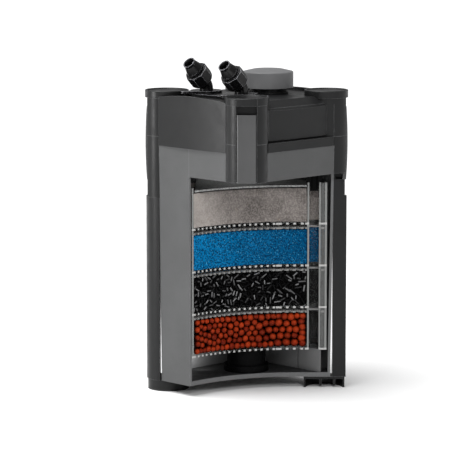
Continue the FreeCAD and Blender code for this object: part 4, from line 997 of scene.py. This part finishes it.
@dataclass
class LooseBed(SubAssembly):
    """A bed of loose pieces: a core painted dark as shade behind the section and whole pieces in front of it.
    """

    node: str = ""
    depth: float = 9.0 * MM
    left: float = -168.0 * MM
    right: float = 11.6 * MM
    duct_near: float = 86.1 * MM
    duct_side: float = 20.9 * MM
    core_voxel: float = 3.0 * MM
    core_play: float = 0.4 * MM
    core_tone: float = 0.4

    def room(self, points: Array) -> Array:
        """Distance from each point to the nearest wall of the basket or duct, negative outside.

        Args:
            points: Points, one row each.

        Returns:
            The least of the distances to the four sides, the four cut corners and the duct.
        """
        across = np.abs(points[:, :2])
        sides = BASKET_HALF - across.max(axis=1)
        corners = BASKET_CORNER - (across[:, 0] + across[:, 1]) * HALF_ROOT
        along, away = to_diagonal(points)
        beside = np.maximum(self.duct_near - along, np.abs(away) - self.duct_side)
        return np.minimum(np.minimum(sides, corners), beside)

    def core(self, name: str, finish: Finish, slot: str) -> None:
        """Closed block behind the loose pieces, painted dark for the shade deep in the bed: the solid's
        space, cut back from the section by the depth.

        Points nearer to the section's axis than its radius plus the depth are moved out to that distance.
        """
        block = remeshed(self.frame["nodes"][self.node], name, self.core_voxel)
        places, normals = vertex_arrays(block.data)
        places -= normals * self.core_play
        along, away = to_diagonal(places)
        side = np.minimum(along - Section.turn, 0.0)
        back = away - (Section.flat - Section.radius)
        reach = np.hypot(side, back)
        out = np.maximum(reach, Section.radius + self.depth) / reach
        side, back = side * out, back * out
        along = np.where(side < 0.0, Section.turn + side, along)
        away = back + Section.flat - Section.radius
        move_vertices(block.data, from_diagonal(along, away, places[:, 2]))
        mark_tones(block.data, np.full(len(places), self.core_tone))
        self.settle(block, finish, slot)

    def levels(self) -> tuple[float, float]:
        """Lowest and highest level of the bed."""
        low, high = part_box(self.node)
        return low.z, high.z


@dataclass
class ClayBed(LooseBed):
    """Fired clay balls of 8 to 15 mm, larger towards the right, packed by letting them push apart."""

    node: str = "clay_balls"
    depth: float = 12.0 * MM
    layer: float = 24.0 * MM
    small: float = 4.2 * MM
    large: float = 7.6 * MM
    front_count: int = 112
    deep_from: float = 9.0 * MM
    deep_count: int = 150
    rear_from: float = 76.0 * MM
    rear_to: float = 112.0 * MM
    rear_depth: float = 42.0 * MM
    rear_count: int = 60
    seeds: tuple[int, int, int, int] = (31, 34, 32, 33)
    rounds: int = 90
    give: float = 0.35
    wall_share: float = 0.9
    squash: tuple[float, float] = (0.84, 1.04)
    tones: tuple[float, float] = (0.05, 1.0)
    cuts: int = 3

    def build(self) -> None:
        """Builds the core and the balls."""
        self.core("clay_core", Finish.CLAY_SHADE, "clay")
        low, high = self.levels()
        near_seed, deep_seed, rear_seed, turn_seed = self.seeds
        near = self.pack((self.left, 0.0, low), (self.right, 0.0, high), self.front_count, near_seed)
        deep = self.pack((self.left, self.deep_from, low), (self.right, self.layer, high),
                         self.deep_count, deep_seed)
        rear = self.pack((self.rear_from, self.duct_side, low), (self.rear_to, self.rear_depth, high),
                         self.rear_count, rear_seed)
        fronts = np.concatenate([near, deep])
        middles = np.concatenate([Section.place(*fronts[:, :3].T), from_diagonal(*rear[:, :3].T)])
        radii = np.concatenate([fronts[:, 3], rear[:, 3]])
        keep = self.room(middles) > radii * self.wall_share
        middles, radii = middles[keep], radii[keep]
        rng = np.random.default_rng(turn_seed)
        turns = random_turns(len(middles), rng)
        squash = rng.uniform(*self.squash, (len(middles), 1, 3))
        points, quads = ball_template(self.cuts)
        balls = scatter("clay_pebbles", points, [quads], turns * squash * radii[:, None, None], middles,
                        rng.uniform(*self.tones, len(middles)))
        self.settle(balls, Finish.CLAY, "clay", self.node)

    def pack(self, low: Place, high: Place, count: int, seed: int) -> Array:
        """Fills a box with balls: each round, balls that overlap push each other apart by a share of it.

        Args:
            low: Lowest corner of the box.
            high: Highest corner; where it has no depth, every ball touches the section.
            count: Number of balls.
            seed: Seed of their first places.

        Returns:
            Rows of three coordinates and a radius.
        """
        low, high = np.array(low), np.array(high)
        rng = np.random.default_rng(seed)
        share = rng.random(count)
        spots = low + rng.random((count, 3)) * (high - low)
        grow = np.clip((spots[:, 0] - self.left) / (self.right - self.left), 0.0, 1.0)
        radii = self.small + (self.large - self.small) * (0.20 * share + (0.25 + 0.55 * share) * grow)
        for _ in range(self.rounds):
            gap = spots[:, None, :] - spots[None, :, :]
            reach = np.sqrt((gap ** 2).sum(axis=2)) + 1e-9
            over = np.clip((radii[:, None] + radii[None, :]) - reach, 0.0, None)
            np.fill_diagonal(over, 0.0)
            spots += (gap / reach[:, :, None] * over[:, :, None]).sum(axis=1) * self.give
            spots = np.maximum(np.minimum(spots, high - radii[:, None]), low + radii[:, None])
        return np.concatenate([spots, radii[:, None]], axis=1)


@dataclass
class CarbonBed(LooseBed):
    """Extruded carbon rods, 2 mm thick and 4 to 12 mm long, in layers that lie along the section.

    The pairs play, rear_along, rear_away and rear_half are ranges in millimetres.
    """

    node: str = "carbon_pellets"
    depth: float = 7.5 * MM
    thick: float = 1.05 * MM
    sides: int = 8
    depths: tuple[float, ...] = (1.2 * MM, 3.4 * MM, 5.8 * MM)
    spacings: tuple[float, ...] = (3.3 * MM, 2.5 * MM, 2.5 * MM)
    play: tuple[float, float] = (-0.1, 0.5)
    tip: float = 0.22
    tip_growth: float = 0.6
    tip_share: float = 0.6
    seed: int = 41
    tones: tuple[float, float] = (-0.5, 1.0)
    tries: int = 9000
    beads: int = 7
    bead_inset: float = 0.8 * MM
    shortest: float = 2.0 * MM
    longest: float = 3.4 * MM
    growth: float = 2.6 * MM
    rear_count: int = 300
    rear_along: tuple[float, float] = (82.0, 108.0)
    rear_away: tuple[float, float] = (22.5, 30.0)
    rear_half: tuple[float, float] = (2.6, 4.5)
    rear_gap: float = 4.0 * MM
    wall_play: float = 1.0 * MM

    def build(self) -> None:
        """Builds the core and the rods."""
        self.core("carbon_core", Finish.CHARCOAL_SHADE, "carbon")
        levels = self.levels()
        rng = np.random.default_rng(self.seed)
        rows = [self.layer(index, levels, rng) for index in range(len(self.depths))]
        rows.append(self.behind(levels, rng))
        middles, frames = (np.concatenate(part) for part in zip(*rows))
        points, quads, ends = rod_template(self.sides)
        # Many rods are clipped to the dark tone; the pale tone of the rest stands in for painted highlight as
        # well as random tone.
        tones = np.clip(rng.uniform(*self.tones, len(middles)), 0.0, 1.0)
        rods = scatter("carbon_rods", points, [quads, ends], frames, middles, tones)
        self.settle(rods, Finish.CHARCOAL, "carbon", self.node)

    def layer(self, index: int, levels: tuple[float, float],
              rng: np.random.Generator) -> tuple[Array, Array]:
        """Rods at one depth behind the section, each kept if its middle line stays clear of the others.

        Args:
            index: Number of the layer; the rods of the deeper ones lean more.
            levels: Lowest and highest level of the bed.
            rng: Source of random numbers.

        Returns:
            Middles and frames of the rods.
        """
        low, high = levels
        kept: list[Array] = []
        beads = np.empty((0, 2))
        steps = np.linspace(-1.0, 1.0, self.beads)
        for _ in range(self.tries):
            angle = rng.uniform(0.0, math.pi)
            spot = np.array([rng.uniform(self.left, self.right), rng.uniform(low, high)])
            grow = (spot[0] - self.left) / (self.right - self.left)
            half = rng.uniform(self.shortest, self.longest + self.growth * grow)
            lean = np.array([math.cos(angle), math.sin(angle)])
            own = spot + steps[:, None] * lean * (half - self.bead_inset)
            inside = (own[:, 1].min() > low + self.thick) and (own[:, 1].max() < high - self.thick)
            inside = inside and own[:, 0].max() < self.right - self.thick
            apart = np.hypot(*(beads[:, None] - own[None]).transpose(2, 0, 1))
            if inside and apart.min(initial=1.0) > self.spacings[index]:
                beads = np.concatenate([beads, own])
                depth = self.depths[index] + rng.uniform(*self.play) * MM
                tip = rng.uniform(-self.tip, self.tip) * (1 + index * self.tip_growth)
                kept.append(np.array([spot[0], depth, spot[1], half, angle, tip]))
        along, depth, level, half, angle, tip = np.array(kept).T
        up = np.array([0.0, 0.0, 1.0])
        out = Section.outward(along)
        axis = (np.cos(angle)[:, None] * np.cross(out, up) + np.sin(angle)[:, None] * up
                - np.abs(np.sin(tip))[:, None] * self.tip_share * out)
        return self.inside(Section.place(along, depth, level), rod_frames(axis, half, self.thick, rng))

    def behind(self, levels: tuple[float, float], rng: np.random.Generator) -> tuple[Array, Array]:
        """Rods in the corner behind the duct, which show through its clear wall.

        Args:
            levels: Lowest and highest level of the bed.
            rng: Source of random numbers.

        Returns:
            Middles and frames of the rods.
        """
        count = self.rear_count
        along, away = (rng.uniform(*ends, count) * MM for ends in (self.rear_along, self.rear_away))
        level = rng.uniform(levels[0] + self.rear_gap, levels[1] - self.rear_gap, count)
        axis, half = rng.normal(size=(count, 3)), rng.uniform(*self.rear_half, count) * MM
        return self.inside(from_diagonal(along, away, level), rod_frames(axis, half, self.thick, rng))

    def inside(self, middles: Array, frames: Array) -> tuple[Array, Array]:
        """Keeps the rods whose ends are in the basket."""
        ends = np.minimum(self.room(middles + frames[:, :, 0]), self.room(middles - frames[:, :, 0]))
        keep = ends > self.wall_play
        return middles[keep], frames[keep]


def random_turns(count: int, rng: np.random.Generator) -> Array:
    """Random rotation matrices: the orthonormal part of random matrices, turned to a positive determinant."""
    turns, _ = np.linalg.qr(rng.normal(size=(count, 3, 3)))
    turns[np.linalg.det(turns) < 0.0, :, 0] *= -1.0
    return turns


def rod_frames(axis: Array, half: Array, thick: float, rng: np.random.Generator) -> Array:
    """Frames of rods: the first column is the half length along the axis, the others the radius across it."""
    axis = axis / np.linalg.norm(axis, axis=1, keepdims=True)
    helper = rng.normal(size=axis.shape)
    across = np.cross(axis, helper)
    across /= np.linalg.norm(across, axis=1, keepdims=True)
    third = np.cross(axis, across)
    radius = thick * rng.uniform(0.85, 1.0, (len(axis), 1))
    return np.stack([axis * half[:, None], across * radius, third * radius], axis=2)


# Studio

@dataclass(frozen=True)
class SoftBox:
    """Square area light of a given size in metres and power in watts, which looks at a point."""

    name: str
    place: Place
    target: Place
    size: float
    power: float

    def light(self) -> None:
        """Adds the light; its own -Z axis is turned towards the target."""
        data = bpy.data.lights.new(self.name, "AREA")
        data.shape, data.size, data.energy = "SQUARE", self.size, self.power
        lamp = bpy.data.objects.new(self.name, data)
        lamp.location = self.place
        way = np.array(self.target) - np.array(self.place)
        flat = math.hypot(way[0], way[1])
        lamp.rotation_euler = (math.atan2(flat, -way[2]), 0.0, math.atan2(way[1], way[0]) - math.pi / 2)
        lamp.visible_camera = False
        link(lamp)


@dataclass
class Studio:
    """Pale floor, soft boxes, small lamps inside the cut-away, and the camera of the photograph's view."""

    camera_place: Place = (2.62932, -2.63129, 0.76355)
    camera_turn: float = 0.006292
    camera_pitch: float = 0.142733
    focal_pixels: float = 2647.67
    photo_pixels: float = 458.0
    sensor: float = 36.0
    floor_half: float = 40.0
    floor_points: int = 9
    sky_power: float = 3.5
    sky_width: float = 50.0
    sky_turn: Place = (18.0, -10.0, 0.0)
    air_power: float = 0.3
    boxes: tuple[SoftBox, ...] = (
        SoftBox("key_box", (-1.22, -2.30, 0.41), (0.0, 0.0, 0.3), 0.60, 24.0),
        SoftBox("near_box", (2.1, -1.4, 1.6), (0.0, 0.0, 0.2), 0.7, 20.0))
    lamps: tuple[SoftBox, ...] = (
        SoftBox("well_lamp", (-0.045, 0.025, 0.338), (-0.045, 0.027, 0.20), 0.08, 0.012),
        SoftBox("pan_lamp", (-0.058, -0.040, 0.040), (-0.12, 0.030, 0.035), 0.03, 0.012))

    def build(self) -> None:
        """Sets up everything that isn't part of the filter."""
        self.place_camera()
        self.lay_floor()
        for box in self.boxes:
            box.light()
        self.sky_lamp()
        for lamp in self.lamps:
            lamp.light()
        world = bpy.data.worlds.new("studio_air")
        world.use_nodes = True
        air = world.node_tree.nodes["Background"]
        air.inputs["Color"].default_value = (1.0, 1.0, 1.0, 1.0)
        air.inputs["Strength"].default_value = self.air_power
        bpy.context.scene.world = world
        bpy.context.scene.view_settings.view_transform = "Standard"

    def place_camera(self) -> None:
        """Camera at azimuth 45 degrees, tipped down by its pitch, with no shift."""
        data = bpy.data.cameras.new("view")
        data.lens = self.focal_pixels / self.photo_pixels * self.sensor
        data.sensor_width = self.sensor
        data.clip_start, data.clip_end = 0.1, 200.0
        camera = bpy.data.objects.new("view", data)
        camera.rotation_euler = (math.pi / 2 - self.camera_pitch, 0.0, math.pi / 4 + self.camera_turn)
        camera.location = self.camera_place
        link(camera)
        bpy.context.scene.camera = camera

    def lay_floor(self) -> None:
        """Plain pale floor."""
        line = np.linspace(-self.floor_half, self.floor_half, self.floor_points)
        u, v = np.meshgrid(line, line, indexing="ij")
        faces = grid_faces(self.floor_points, self.floor_points).tolist()
        floor = new_piece("studio_floor", np.stack([u, v, np.zeros_like(u)], axis=-1), faces, smooth=False)
        b = Bench("studio_paper")
        tone = b.spread(3.0, 2.0)
        b.feed(b.shader, Base_Color=b.mix(tone, (0.90, 0.90, 0.90), (0.92, 0.92, 0.92)), Roughness=0.9,
               Specular_IOR_Level=0.1)
        floor.data.materials.append(b.material)

    def sky_lamp(self) -> None:
        """Broad light from above that keeps the whole floor white."""
        data = bpy.data.lights.new("sky_lamp", "SUN")
        data.energy, data.angle = self.sky_power, math.radians(self.sky_width)
        lamp = bpy.data.objects.new("sky_lamp", data)
        lamp.rotation_euler = tuple(math.radians(turn) for turn in self.sky_turn)
        link(lamp)


# Assembly


def main() -> None:
    """Builds the classes in order and reports each piece."""
    logging.basicConfig(level=logging.INFO, format="%(message)s")
    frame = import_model()
    palette = Palette()
    Studio().build()
    for finishes in (canister_finishes(), head_finishes(), connector_finishes()):
        SubAssembly(palette, frame, finishes).build()
    for kind in (Baskets, Pads, CarbonBed, ClayBed):
        kind(palette, frame).build()


if __name__ == "__main__":
    main()
